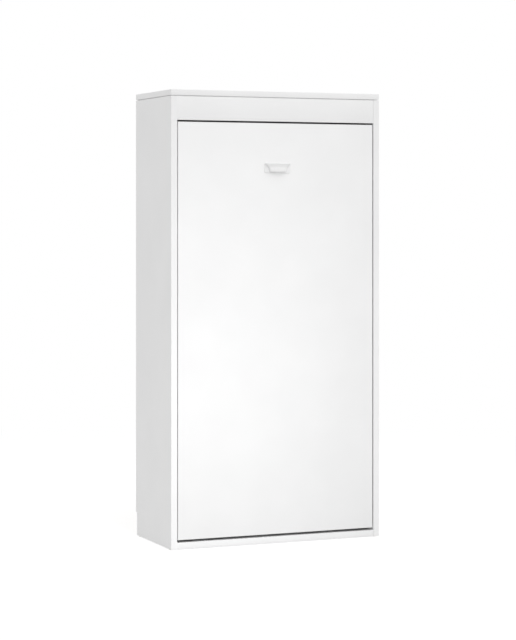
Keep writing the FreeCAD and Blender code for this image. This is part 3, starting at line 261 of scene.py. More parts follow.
def acetal_bush():
    """Natural acetal, turned: milky white and slightly waxy, with fine rings from the tool."""
    material, tree, shader, place = new_finish("acetal_bush", 0.32, IOR=1.48)
    shader.inputs["Subsurface Weight"].default_value = 0.1
    shader.inputs["Subsurface Radius"].default_value = (0.002, 0.002, 0.0018)
    haze = noise(tree, place, 3, 2)
    tree.links.new(between(tree, haze, "E4E1D6", "EEEBE2"), shader.inputs["Base Color"])
    rings = wave(tree, place, 1.2, "X")
    raise_surface(tree, shader, rings, 0.01, 0.3)
    return material


def soft_rubber():
    """Black moulded rubber: deep matt grey with a dusty bloom."""
    material, tree, shader, place = new_finish("soft_rubber", 0.8, IOR=1.52)
    bloom = noise(tree, place, 5, 4)
    coat(tree, shader, bloom, ("1E1E1F", "313133"), (0.72, 0.88))
    raise_surface(tree, shader, noise(tree, place, 1.1, 3), 0.06, 0.5)
    return material


def stretch_knit():
    """Knitted mattress cover: warm white yarn in small rows of loops, 1.9 mm apart."""
    material, tree, shader, place = new_finish("stretch_knit", 0.9, IOR=1.46)
    shader.inputs["Sheen Weight"].default_value = 0.35
    shader.inputs["Sheen Roughness"].default_value = 0.45
    shader.inputs["Sheen Tint"].default_value = colour("FFFFFF")
    turned_place = add_node(tree, "ShaderNodeMapping", {
        "Vector": place, "Rotation": (0, math.radians(45), 0),
    }).outputs["Vector"]
    loops = {"Distortion": 0.6, "Detail": 1.0, "Detail Scale": 2.0}
    rows = wave(tree, turned_place, 3.0, "X", **loops)
    columns = wave(tree, turned_place, 3.0, "Z", **loops)
    yarn = add_node(tree, "ShaderNodeMath", {0: rows, 1: columns}, operation="MULTIPLY").outputs[0]
    slub = noise(tree, place, 9, 4)
    both = add_node(tree, "ShaderNodeMath", {0: yarn, 1: slub}, operation="ADD").outputs[0]
    tree.links.new(between(tree, both, "DCD9D1", "F1EFE9", 0.3, 1.2), shader.inputs["Base Color"])
    raise_surface(tree, shader, yarn, 0.5, 0.45)
    return material


def edge_tape():
    """Woven tape round the mattress edges: pale grey, with short cross ribs."""
    material, tree, shader, _ = new_finish("edge_tape", 0.75, IOR=1.46)
    shader.inputs["Sheen Weight"].default_value = 0.3
    run = add_node(tree, "ShaderNodeUVMap", uv_map="weave").outputs["UV"]
    ribs = wave(tree, run, 2.5, "X")
    tree.links.new(between(tree, ribs, "9A9C9E", "BEC0C1"), shader.inputs["Base Color"])
    raise_surface(tree, shader, ribs, 0.3, 0.5)
    return material


def polyester_webbing():
    """Polyester webbing: charcoal, with tight cross ribs between two raised selvedges."""
    material, tree, shader, _ = new_finish("polyester_webbing", 0.62, IOR=1.5)
    shader.inputs["Sheen Weight"].default_value = 0.25
    run = add_node(tree, "ShaderNodeUVMap", uv_map="weave").outputs["UV"]
    ribs = wave(tree, run, 1.8, "X")
    warp = wave(tree, run, 4.0, "Y")
    weave = add_node(tree, "ShaderNodeMath", {0: ribs, 1: warp}, operation="MULTIPLY").outputs[0]
    tree.links.new(between(tree, weave, "2B2D30", "4A4D51", 0.1, 0.8), shader.inputs["Base Color"])
    raise_surface(tree, shader, weave, 0.25, 0.6)
    return material


def black_enamel():
    """Black enamel on a drawn cylinder: glossy, with long shallow ripples."""
    material, tree, shader, place = new_finish("black_enamel", 0.22, IOR=1.5)
    ripple = noise(tree, place, 7, 2, (1.0, 1.0, 0.3))
    coat(tree, shader, ripple, ("0E0F11", "17181A"), (0.17, 0.28))
    raise_surface(tree, shader, ripple, 0.02, 0.25)
    return material


def hard_chrome():
    """Hard chrome on a ground rod: bright, with very fine scratches along it."""
    material, tree, shader, place = new_finish("hard_chrome", 0.12, Metallic=1.0)
    scratches = noise(tree, place, 0.6, 2, (1.0, 1.0, 0.05))
    coat(tree, shader, scratches, ("C6C9CC", "D6D8DA"), (0.08, 0.18))
    raise_surface(tree, shader, scratches, 0.004, 0.3)
    return material


FINISH = {
    "white_board": melamine_board(),
    "back_board": hardboard(),
    "white_handle": painted_zinc(),
    "frame_steel": epoxy_tube(),
    "plated_steel": zinc_plate(),
    "slats": beech("beech_slat", 0),
    "dowel_wood": beech("beech_dowel", 2),
    "dark_plastic": moulded_black(),
    "bush_plastic": acetal_bush(),
    "rubber": soft_rubber(),
    "mattress_fabric": stretch_knit(),
    "webbing": polyester_webbing(),
    "strut_black": black_enamel(),
    "strut_chrome": hard_chrome(),
}
TAPE = edge_tape()
SLOT = {part["node"]: part["material_slot"] for part in frame["record"]["subparts"]}

for name, node in cad.items():
    node.data.materials.clear()
    node.data.materials.append(FINISH[SLOT[name]])


# Meshes

SMOOTH_ANGLE = 35
MERGE_GAP = 0.01 * MM


def new_object(name, mesh, material=None):
    """An object of a mesh, at the origin."""
    thing = bpy.data.objects.new(name, mesh)
    scene.collection.objects.link(thing)
    if material:
        mesh.materials.clear()
        mesh.materials.append(material)
    return thing


def mesh_of(name, points, faces):
    """A mesh of points and faces, with its faces outward and its curves smooth."""
    mesh = bpy.data.meshes.new(name)
    mesh.from_pydata(points, [], faces)
    return tidied(mesh)


def smoothed(mesh, angle=SMOOTH_ANGLE):
    """Smooth all but sharp edges."""
    mesh.polygons.foreach_set("use_smooth", [True] * len(mesh.polygons))
    mesh.set_sharp_from_angle(angle=math.radians(angle))
    return mesh


def tidied(mesh, angle=SMOOTH_ANGLE, merge=True):
    """Merge doubles if asked, point the faces outward and smooth all but sharp edges."""
    work = bmesh.new()
    work.from_mesh(mesh)
    if merge:
        bmesh.ops.remove_doubles(work, verts=work.verts, dist=MERGE_GAP)
    bmesh.ops.recalc_face_normals(work, faces=work.faces)
    work.to_mesh(mesh)
    work.free()
    return smoothed(mesh, angle)


def joined(name, meshes):
    """One mesh made of several."""
    work = bmesh.new()
    for mesh in meshes:
        work.from_mesh(mesh)
    whole = bpy.data.meshes.new(name)
    work.to_mesh(whole)
    work.free()
    return smoothed(whole)


def baked(thing):
    """The object's mesh with its modifiers worked in, which are then removed."""
    graph = bpy.context.evaluated_depsgraph_get()
    mesh = bpy.data.meshes.new_from_object(thing.evaluated_get(graph))
    thing.modifiers.clear()
    thing.data = mesh
    return thing


def softened(thing, width_mm, segments=2, angle=40):
    """Round the sharp edges of a piece."""
    bevel = thing.modifiers.new("bevel", "BEVEL")
    bevel.width = width_mm * MM
    bevel.segments = segments
    bevel.limit_method = "ANGLE"
    bevel.angle_limit = math.radians(angle)
    baked(thing)
    tidied(thing.data)
    return thing


def turned(name, profile, sides=32):
    """A shape turned about Z from (radius, height) pairs in millimetres."""
    points, rings, faces = [], [], []
    for radius, height in profile:
        if radius == 0:
            rings.append([len(points)])
            points.append((0, 0, height * MM))
            continue
        rings.append(list(range(len(points), len(points) + sides)))
        for step in range(sides):
            turn = 2 * math.pi * step / sides
            points.append((radius * MM * math.cos(turn), radius * MM * math.sin(turn), height * MM))
    for low, high in zip(rings, rings[1:]):
        for step in range(sides):
            after = (step + 1) % sides
            face = [low[step % len(low)], low[after % len(low)],
                    high[after % len(high)], high[step % len(high)]]
            faces.append(list(dict.fromkeys(face)))
    return mesh_of(name, points, [face for face in faces if len(face) > 2])


def swept(name, path, section, closed=False, weave=False):
    """A section of (across, out) pairs carried along a path in a plane, with a UV map in metres if asked."""
    count = len(path)
    normal = None
    for before, here, after in zip(path, path[1:], path[2:]):
        normal = (here - before).cross(after - here)
        if normal.length > 1e-9:
            break
    normal.normalize()
    points, faces, along = [], [], [0.0]
    for step, place in enumerate(path):
        before = path[step - 1] if step or closed else place
        after = path[(step + 1) % count] if step < count - 1 or closed else place
        forward = (after - before).normalized()
        side = normal.cross(forward).normalized()
        for across, out in section:
            points.append(place + across * normal + out * side)
    for here, there in zip(path, path[1:] + path[:1]):
        along.append(along[-1] + (there - here).length)
    wide = len(section)
    runs = count if closed else count - 1
    for step in range(runs):
        following = (step + 1) % count
        for edge in range(wide):
            beside = (edge + 1) % wide
            faces.append((step * wide + edge, step * wide + beside,
                          following * wide + beside, following * wide + edge))
    if not closed:
        faces.append(tuple(range(wide)))
        faces.append(tuple((count - 1) * wide + edge for edge in range(wide)))
    mesh = bpy.data.meshes.new(name)
    mesh.from_pydata([tuple(point) for point in points], [], faces)
    if weave:
        uv = mesh.uv_layers.new(name="weave")
        for index, face in enumerate(mesh.polygons):
            step = index // wide
            for loop in face.loop_indices:
                point = mesh.loops[loop].vertex_index
                ring = point // wide
                travelled = along[step + 1] if ring != step else along[step]
                if index >= runs * wide:
                    travelled = along[min(ring, count - 1)]
                uv.data[loop].uv = (travelled, section[point % wide][0])
    return tidied(mesh, merge=False)


def ring_section(radius, sides=16):
    """A circle's section for a sweep."""
    turns = [2 * math.pi * step / sides for step in range(sides)]
    return [(radius * math.cos(turn), radius * math.sin(turn)) for turn in turns]


def slab(name, outline, low, high, axis="Y"):
    """A plate between two depths along an axis, from an outline of (across, up) pairs."""
    count = len(outline)
    points = []
    for depth in (low, high):
        for across, up in outline:
            points.append((across, depth, up) if axis == "Y" else (depth, across, up))
    faces = [tuple(range(count)), tuple(range(count, 2 * count))]
    for step in range(count):
        after = (step + 1) % count
        faces.append((step, after, count + after, count + step))
    return mesh_of(name, points, faces)


def rounded_outline(left, right, low, high, radius, steps=6):
    """A rectangle's outline with round corners."""
    outline = []
    corners = (
        (right - radius, high - radius, 0), (left + radius, high - radius, 90),
        (left + radius, low + radius, 180), (right - radius, low + radius, 270),
    )
    for across, up, start in corners:
        for step in range(steps + 1):
            turn = math.radians(start + 90 * step / steps)
            outline.append((across + radius * math.cos(turn), up + radius * math.sin(turn)))
    return outline


def attach(piece, body, *replaced):
    """Let a piece ride on its body in place of the nodes it stands for."""
    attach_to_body(piece, body)
    if replaced:
        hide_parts(*replaced)
    return piece


# Small fittings, set out on the places of the plain ones

def placing_tree():
    """Geometry nodes that put one piece on every point, turned as the point says."""
    tree = bpy.data.node_groups.new("set_out", "GeometryNodeTree")
    sockets = (
        ("Places", "INPUT", "NodeSocketGeometry"), ("Piece", "INPUT", "NodeSocketObject"),
        ("Finish", "INPUT", "NodeSocketMaterial"), ("Fittings", "OUTPUT", "NodeSocketGeometry"),
    )
    for name, way, kind in sockets:
        tree.interface.new_socket(name=name, in_out=way, socket_type=kind)
    given = add_node(tree, "NodeGroupInput").outputs
    piece = add_node(tree, "GeometryNodeObjectInfo", {"Object": given["Piece"]}).outputs["Geometry"]
    turn = add_node(tree, "GeometryNodeInputNamedAttribute", {"Name": "turn"},
                    data_type="FLOAT_VECTOR").outputs["Attribute"]
    turn = add_node(tree, "FunctionNodeEulerToRotation", {"Euler": turn}).outputs["Rotation"]
    spread_out = add_node(tree, "GeometryNodeInstanceOnPoints", {
        "Points": given["Places"], "Instance": piece, "Rotation": turn,
    }).outputs["Instances"]
    real = add_node(tree, "GeometryNodeRealizeInstances", {"Geometry": spread_out}).outputs["Geometry"]
    coated = add_node(tree, "GeometryNodeSetMaterial", {
        "Geometry": real, "Material": given["Finish"],
    }).outputs["Geometry"]
    add_node(tree, "NodeGroupOutput", {"Fittings": coated})
    return tree


SET_OUT = placing_tree()


def solids_of(name):
    """The points of each separate solid of a node."""
    work = bmesh.new()
    work.from_mesh(cad[name].data)
    bmesh.ops.remove_doubles(work, verts=work.verts, dist=MERGE_GAP)
    left = set(work.verts)
    solids = []
    while left:
        group, queue = [], [left.pop()]
        while queue:
            corner = queue.pop()
            group.append(corner.co.copy())
            for edge in corner.link_edges:
                other = edge.other_vert(corner)
                if other in left:
                    left.remove(other)
                    queue.append(other)
        solids.append(group)
    work.free()
    return sorted(solids, key=lambda group: tuple(round(value, 4) for value in group_middle(group)))


def group_box(group):
    """The lowest and highest corner of the box round a group of points."""
    return ([min(point[axis] for point in group) for axis in range(3)],
            [max(point[axis] for point in group) for axis in range(3)])


def group_middle(group):
    """The middle of the box round a group of points."""
    return [(a + b) / 2 for a, b in zip(*group_box(group))]


END_GAP = 0.05 * MM


def end_places(name, slim):
    """Each fitting's axis, middle, two ends and how far each end reaches out.

    The axis runs along the longest side of a slim fitting and the shortest side of a flat one.
    """
    places = []
    for group in solids_of(name):
        low, high = group_box(group)
        lengths = [b - a for a, b in zip(low, high)]
        axis = lengths.index(max(lengths) if slim else min(lengths))
        middle = group_middle(group)
        reach = {}
        for end, value in ((-1, low[axis]), (1, high[axis])):
            near = [point for point in group if abs(point[axis] - value) < END_GAP]
            reach[end] = max((Vector(point) - Vector(middle)).length for point in near)
        places.append((axis, middle, low[axis], high[axis], reach))
    return places


def set_out(name, template, places, body, node, material):
    """Put a template on each (place, direction) and let the result ride on a body in place of a node."""
    pattern = new_object(f"{name}_pattern", template)
    mesh = bpy.data.meshes.new(name)
    mesh.from_pydata([tuple(place) for place, _ in places], [], [])
    turns = mesh.attributes.new("turn", "FLOAT_VECTOR", "POINT")
    for index, (_, direction) in enumerate(places):
        turns.data[index].vector = Vector((0, 0, 1)).rotation_difference(Vector(direction)).to_euler()
    piece = new_object(name, mesh)
    modifier = piece.modifiers.new("set_out", "NODES")
    modifier.node_group = SET_OUT
    values = {"Piece": pattern, "Finish": material}
    for socket in SET_OUT.interface.items_tree:
        if socket.in_out == "INPUT" and socket.name in values:
            modifier[socket.identifier] = values[socket.name]
    baked(piece)
    bpy.data.objects.remove(pattern)
    return attach(piece, body, node)


def directed(name, slim, direction=None):
    """Places for fittings, each at its head: its wider end, unless a direction is given."""
    result = []
    for axis, middle, low, high, reach in end_places(name, slim):
        sign = 1 if reach[1] >= reach[-1] else -1
        if direction:
            sign = direction[axis]
        place = Vector(middle)
        place[axis] = high if sign > 0 else low
        way = Vector((0, 0, 0))
        way[axis] = sign
        result.append((place, way))
    return result


def screw_template():
    """A pan head screw with a cross recess, its head's face at the origin and its shank below."""
    head = turned("head", [
        (0, -0.9), (1.0, -0.9), (1.05, 0), (3.2, -0.25), (4.3, -1.0), (4.5, -2.4), (2.2, -2.4),
        (2.2, -11), (1.5, -13), (0, -14),
    ], 20)
    arms = []
    for turn in (0, 90):
        arm = slab("arm", rounded_outline(-2.3 * MM, 2.3 * MM, -0.45 * MM, 0.45 * MM, 0.2 * MM, 2),
                   -0.35 * MM, 0.02 * MM)
        arm.transform(Matrix.Rotation(math.radians(turn), 4, "Z") @ Matrix.Rotation(math.radians(90), 4, "X"))
        arms.append(arm)
    return joined("screw", [head] + arms)


def make_fittings():
    """Screws, cams, bolts, dowels, glides and door bumpers."""
    zinc = FINISH["plated_steel"]
    for node, body in (("cabinet_plate_screws", "cabinet"), ("panel_screws", "bed"),
                       ("bed_plate_screws", "bed")):
        set_out(f"{node}_turned", screw_template(), directed(node, True), body, node, zinc)
    cam = turned("cam", [
        (0, -1.6), (1.6, -1.6), (2.0, -0.4), (5.2, -0.4), (5.8, 0), (7.2, 0), (7.5, -0.4),
        (7.5, -4.0), (6.6, -4.4), (6.6, -9.6), (7.5, -10.0), (7.5, -12.5), (0, -12.5),
    ], 28)
    set_out("cam_locks_cast", cam, directed("cam_locks", False, (1, 1, -1)), "cabinet", "cam_locks", zinc)
    bolt = turned("bolt", [
        (0, 0), (1.8, 0), (2.9, -0.9), (2.9, -2.2), (1.7, -3.2), (1.7, -9), (3.3, -9.6), (3.3, -12.2),
        (3.5, -12.6), (3.2, -13.4), (3.5, -14.6), (3.2, -15.8), (3.5, -17.0), (3.2, -18.2), (3.5, -19.4),
        (2.6, -22), (0, -23),
    ], 20)
    bolts = []
    for _, middle, low, high, _ in end_places("cam_bolts", True):
        sign = -1 if middle[0] > 0 else 1
        bolts.append(((high if sign > 0 else low, middle[1], middle[2]), (sign, 0, 0)))
    set_out("cam_bolts_turned", bolt, bolts, "cabinet", "cam_bolts", zinc)
    dowel = turned("dowel", [(0, 0), (3.2, 0), (4, -1.5), (4, -22.5), (3.2, -24), (0, -24)], 24)
    set_out("top_dowels_turned", dowel, directed("top_dowels", True, (1, 1, 1)), "cabinet", "top_dowels",
            FINISH["dowel_wood"])
    glide = turned("glide", [(0, 0), (11.5, 0), (12.6, -0.5), (13, -1.4), (13, -4), (0, -4)], 40)
    glides = set_out("floor_glides_moulded", glide, directed("floor_glides", False, (1, 1, -1)), "cabinet",
                     "floor_glides", FINISH["bush_plastic"])
    bumper = turned("bumper", [
        (0, 0), (3.4, -0.1), (5.4, -0.8), (6.4, -2.0), (6.8, -3.6), (7, -6), (0, -6),
    ], 32)
    set_out("door_bumpers_moulded", bumper, directed("door_bumpers", False, (1, -1, 1)), "cabinet",
            "door_bumpers", FINISH["rubber"])


# Boards whose joints show

BOARD_EDGE_MM = 0.8
CROSS_BOARD_SETBACK = 2.5 * MM
TOP_JOINT_HEIGHT = 3 * MM
TOP_JOINT_DEPTH = 9 * MM
TOP_LAP = 0.5 * MM
DOOR_RIGHT_TRIM = 2.2 * MM


def board_between(low, high):
    """A board with softened edges between two corners."""
    outline = [(low.x, low.z), (high.x, low.z), (high.x, high.z), (low.x, high.z)]
    return softened(new_object("board", slab("board", outline, low.y, high.y)), BOARD_EDGE_MM, 3)


def make_joint_boards():
    """Boards that don't sit flush or centred.

    The fascia and the bottom board lie a little behind the sides' edges, the top board lies over a
    dark joint, and the front panel's right edge is further in than its left.
    """
    for node in ("top_fascia", "bottom_panel"):
        low, high = BOX[node]
        board = board_between(low + Vector((0, CROSS_BOARD_SETBACK, 0)), high)
        board.name = f"{node}_softened"
        board.data.materials.append(FINISH["white_board"])
        attach(board, "cabinet", node)
    low, high = BOX["top_panel"]
    joint = low.z + TOP_JOINT_HEIGHT
    upper = board_between(Vector((low.x, low.y, joint)), high)
    outline = [(low.x + TOP_JOINT_DEPTH, low.z), (high.x - TOP_JOINT_DEPTH, low.z),
               (high.x - TOP_JOINT_DEPTH, joint + TOP_LAP), (low.x + TOP_JOINT_DEPTH, joint + TOP_LAP)]
    lower = slab("lower", outline, low.y + TOP_JOINT_DEPTH, high.y - TOP_LAP)
    whole = joined("top_panel_grooved", [upper.data, lower])
    bpy.data.objects.remove(upper)
    attach(new_object("top_panel_grooved", whole, FINISH["white_board"]), "cabinet", "top_panel")
    low, high = BOX["front_panel"]
    door = board_between(low, high - Vector((DOOR_RIGHT_TRIM, 0, 0)))
    door.name = "front_panel_hung"
    door.data.materials.append(FINISH["white_board"])
    attach(door, "bed", "front_panel")


# Handle

HANDLE_PLATE = 3 * MM
HANDLE_PLATE_CORNER = 9 * MM
HANDLE_WALL = 2.6 * MM
HANDLE_SINK = 0.1 * MM
HANDLE_LEVELS = (
    (4, 40, 12.5), (5.5, 41.6, 14.8), (9, 43.4, 16.4), (20, 47, 16.4), (26, 49.4, 16.3),
    (29, 51, 16.8), (33, 54.4, 18.2), (38, 59.4, 20.3), (43, 64.6, 22.6), (45, 65.6, 23.2),
)
HANDLE_COLUMNS = 40
HANDLE_SQUARENESS = 3.8


def scoop_line(half, rise, base, up):
    """One level of the scoop's bow, from its left end to its right end."""
    line = []
    for step in range(HANDLE_COLUMNS + 1):
        turn = math.pi * step / HANDLE_COLUMNS
        across = math.cos(turn)
        out = math.sin(turn)
        line.append((
            -half * math.copysign(abs(across) ** (2 / HANDLE_SQUARENESS), across),
            base - rise * abs(out) ** (2 / HANDLE_SQUARENESS),
            up,
        ))
    return line


def make_handle():
    """A scoop pull: a flat plate and a bowed cup whose wide lip flares out above a narrow neck."""
    low, high = BOX["handle"]
    base = high.y - HANDLE_PLATE
    plate = new_object("handle_plate", slab(
        "plate", rounded_outline(low.x, high.x, low.z, high.z, HANDLE_PLATE_CORNER), base, high.y))
    softened(plate, 0.9, 3)
    points, faces = [], []
    for up, half, rise in HANDLE_LEVELS:
        line = (half * MM, rise * MM, base + HANDLE_SINK, low.z + up * MM)
        points += scoop_line(*line)
        points += reversed(scoop_line(line[0] - HANDLE_WALL, line[1] - HANDLE_WALL, *line[2:]))
    wide = 2 * (HANDLE_COLUMNS + 1)
    last = len(HANDLE_LEVELS) - 1
    for row in range(last):
        for step in range(wide):
            after = (step + 1) % wide
            faces.append((row * wide + step, row * wide + after,
                          (row + 1) * wide + after, (row + 1) * wide + step))
    for row in (0, last):
        for step in range(HANDLE_COLUMNS):
            across = wide - 1 - step
            faces.append((row * wide + step, row * wide + step + 1,
                          row * wide + across - 1, row * wide + across))
    cup = new_object("handle_cup", mesh_of("cup", points, faces))
    softened(cup, 1.1, 4, 50)
    up, half, rise = HANDLE_LEVELS[0]
    floor = slab("floor", [(x, y) for x, y, _ in scoop_line(
        half * MM - HANDLE_WALL / 2, rise * MM - HANDLE_WALL / 2, base, 0)], 0, HANDLE_WALL)
    floor.transform(Matrix(((1, 0, 0, 0), (0, 0, 1, 0), (0, 1, 0, low.z + (up + 0.2) * MM), (0, 0, 0, 1))))
    tidied(floor)
    whole = joined("handle_scoop", [plate.data, cup.data, floor])
    bpy.data.objects.remove(plate)
    bpy.data.objects.remove(cup)
    attach(new_object("handle_scoop", whole, FINISH["white_handle"]), "bed", "handle")


# Gas struts

STRUT_SECTIONS = 48


def closed_length(top, bottom):
    """A strut's length in millimetres with the bed down, when it is shortest."""
    fold = JOINTS["bed_fold"]
    hinge = Vector(fold["pos_m"])
    swing = Matrix.Rotation(math.radians(fold["range_deg"][1]), 4, "X")
    return (top - (hinge + swing @ (bottom - hinge))).length / MM


def make_struts():
    """Each strut's cylinder and rod, turned on one axis, with an eye across it at the end."""
    eye_ring = turned("eye", [
        (4.3, -4.5), (8.6, -4.5), (9, -4.1), (9, 4.1), (8.6, 4.5), (4.3, 4.5), (4.3, -4.5),
    ], 40)
    eye_ring.transform(Matrix.Rotation(math.radians(90), 4, "Y"))
    for side in ("left", "right"):
        top = Vector(JOINTS[f"{side}_cylinder_swing"]["pos_m"])
        bottom = Vector(JOINTS[f"{side}_rod_swing"]["pos_m"])
        length = closed_length(top, bottom)
        lean = Matrix.Rotation(-math.atan2(top.y - bottom.y, top.z - bottom.z), 4, "X")
        cylinder = turned("cylinder", [
            (0, -7), (4.5, -7), (4.5, -15), (7, -15.8), (10.2, -16.4), (11, -17.6), (11, 48 - length),
            (10.3, 46.6 - length), (10.3, 45 - length), (9.4, 43.4 - length), (8, 42 - length),
            (4.3, 42 - length), (4.3, 60 - length), (0, 60 - length),
        ], STRUT_SECTIONS)
        rod = turned("rod", [
            (0, 7), (4.5, 7), (4.5, 16), (5, 16.6), (5, 23), (4, 23.8), (4, length - 47), (0, length - 46),
        ], STRUT_SECTIONS)
        for part, place, mesh in (("cylinder", top, cylinder), ("rod", bottom, rod)):
            whole = joined(f"{side}_strut_{part}", [mesh, eye_ring])
            whole.transform(Matrix.Translation(place) @ lean)
            finish = FINISH["strut_black" if part == "cylinder" else "strut_chrome"]
            attach(new_object(f"{side}_strut_{part}_turned", whole, finish),
                   f"{side}_{part}", f"{side}_strut_{part}")


# Folding foot

FOOT_TUBE = 20 * MM
FOOT_OFFSET = 26 * MM
FOOT_BEND = 60 * MM
FOOT_TURN = 60
FOOT_DROP = 303.1 * MM
LUG_RADIUS = 11 * MM
LUG_HALF = 3 * MM
SLEEVE_PLACE = 0.32
SLEEVE_RIB_PITCH = 4.6


def make_foot():
    """The bowed tube with its lugs, and the ribbed rubber sleeves that it stands on."""
    hinge = Vector(JOINTS["foot_fold"]["pos_m"])
    placed = Matrix.Translation(hinge) @ Matrix.Rotation(math.radians(FOOT_TURN), 4, "X")
    across = BOX["folding_foot"][1].x - FOOT_TUBE / 2
    path = [Vector((-across, -FOOT_OFFSET, 4 * MM))]
    for sign in (-1, 1):
        for step in range(13):
            turn = math.radians(90 * step / 12)
            if sign < 0:
                sideways, down = math.cos(turn), math.sin(turn)
            else:
                sideways, down = math.sin(turn), math.cos(turn)
            path.append(Vector((
                sign * (across - FOOT_BEND + FOOT_BEND * sideways), -FOOT_OFFSET,
                FOOT_BEND - FOOT_DROP - FOOT_BEND * down,
            )))
    path.append(Vector((across, -FOOT_OFFSET, 4 * MM)))
    tube = swept("tube", path, ring_section(FOOT_TUBE / 2, 24))
    lugs = []
    for sign in (-1, 1):
        outline = []
        for step in range(17):
            turn = math.radians(180 * step / 16 - 90)
            outline.append((LUG_RADIUS * math.cos(turn), LUG_RADIUS * math.sin(turn)))
        outline += [(-FOOT_OFFSET, 6 * MM), (-FOOT_OFFSET, -18 * MM)]
        lug = new_object("lug", slab(
            "lug", outline, sign * across - LUG_HALF, sign * across + LUG_HALF, "X"))
        softened(lug, 0.6)
        lugs.append(lug.data)
        bpy.data.objects.remove(lug)
    whole = joined("folding_foot_bow", [tube] + lugs)
    whole.transform(placed)
    attach(new_object("folding_foot_bow", whole, FINISH["frame_steel"]), "folding_foot_body", "folding_foot")
    profile = [(10.05, -23), (12.6, -23), (13.5, -22)]
    for rib in range(-4, 5):
        up = rib * SLEEVE_RIB_PITCH
        profile += [(13.5, up - 1.4), (12.7, up - 0.8), (12.7, up + 0.8), (13.5, up + 1.4)]
    profile += [(13.5, 22), (12.6, 23), (10.05, 23), (10.05, -23)]
    sleeves = []
    for sign in (-1, 1):
        sleeve = turned("sleeve", profile, 32)
        sleeve.transform(placed @ Matrix.Translation((sign * SLEEVE_PLACE, -FOOT_OFFSET, -FOOT_DROP))
                         @ Matrix.Rotation(math.radians(90), 4, "Y"))
        sleeves.append(sleeve)
    attach(new_object("foot_sleeves_ribbed", joined("foot_sleeves_ribbed", sleeves), FINISH["rubber"]),
           "folding_foot_body", "foot_sleeves")


# Mattress

MATTRESS_VOXEL = 14 * MM
MATTRESS_SWELL = 9 * MM
MATTRESS_INSET = 8 * MM
MATTRESS_CORNER = 48 * MM
MATTRESS_ROUND_MM = 26
COVER_PRESSURE = 4
COVER_STEPS = 20
COVER_MARGIN = 0.4 * MM
FACE_TURN = 0.6
QUILT_PITCH = 150 * MM
QUILT_DEPTH = 6 * MM
QUILT_WIDTH = 11 * MM
QUILT_MARGIN = 30 * MM
TAPE_RADIUS = 4.5 * MM
TAPE_CORNER = 50 * MM
TAPE_STEP = 40 * MM
TAPE_PROUD = 0.5 * MM
STRAP_SINK = 3 * MM
STRAP_SINK_HALF = 24 * MM
STRAP_SINK_FADE = 16 * MM


def mattress_start():
    """A rounded block a little inside the mattress's box, in even small quads."""
    low, high = BOX["mattress"]
    inset = Vector((MATTRESS_INSET,) * 3)
    low, high = low + inset, high - inset
    block = new_object("mattress_quilted", slab(
        "block", rounded_outline(low.x, high.x, low.z, high.z, MATTRESS_CORNER, 8), low.y, high.y))
    softened(block, MATTRESS_ROUND_MM, 5, 60)
    remesh = block.modifiers.new("remesh", "REMESH")
    remesh.mode = "VOXEL"
    remesh.voxel_size = MATTRESS_VOXEL
    return baked(block)


def swell(block):
    """Let pressure inside the cover round the block, each point moving only so far."""
    start = [point.co.copy() for point in block.data.vertices]
    cloth = block.modifiers.new("cloth", "CLOTH")
    cloth.settings.use_pressure = True
    cloth.settings.uniform_pressure_force = COVER_PRESSURE
    cloth.settings.effector_weights.gravity = 0
    for step in range(1, COVER_STEPS + 1):
        scene.frame_set(step)
    baked(block)
    scene.frame_set(1)
    for point, before in zip(block.data.vertices, start):
        move = point.co - before
        if move.length > MATTRESS_SWELL:
            move.length = MATTRESS_SWELL
        point.co = before + move
    return block


def quilt_line(across, up):
    """How far a point on a face is from the nearest line of the diamond quilting."""
    nearest = 1.0
    for sum_ in (up + across, up - across):
        offset = (sum_ + QUILT_PITCH / 2) % QUILT_PITCH - QUILT_PITCH / 2
        nearest = min(nearest, abs(offset) / math.sqrt(2))
    return nearest


def evened(path, rounds=3):
    """A closed path with each point drawn to the middle of its neighbours a few times."""
    for _ in range(rounds):
        path = [(path[step - 1] + 2 * path[step] + path[(step + 1) % len(path)]) / 4
                for step in range(len(path))]
    return path


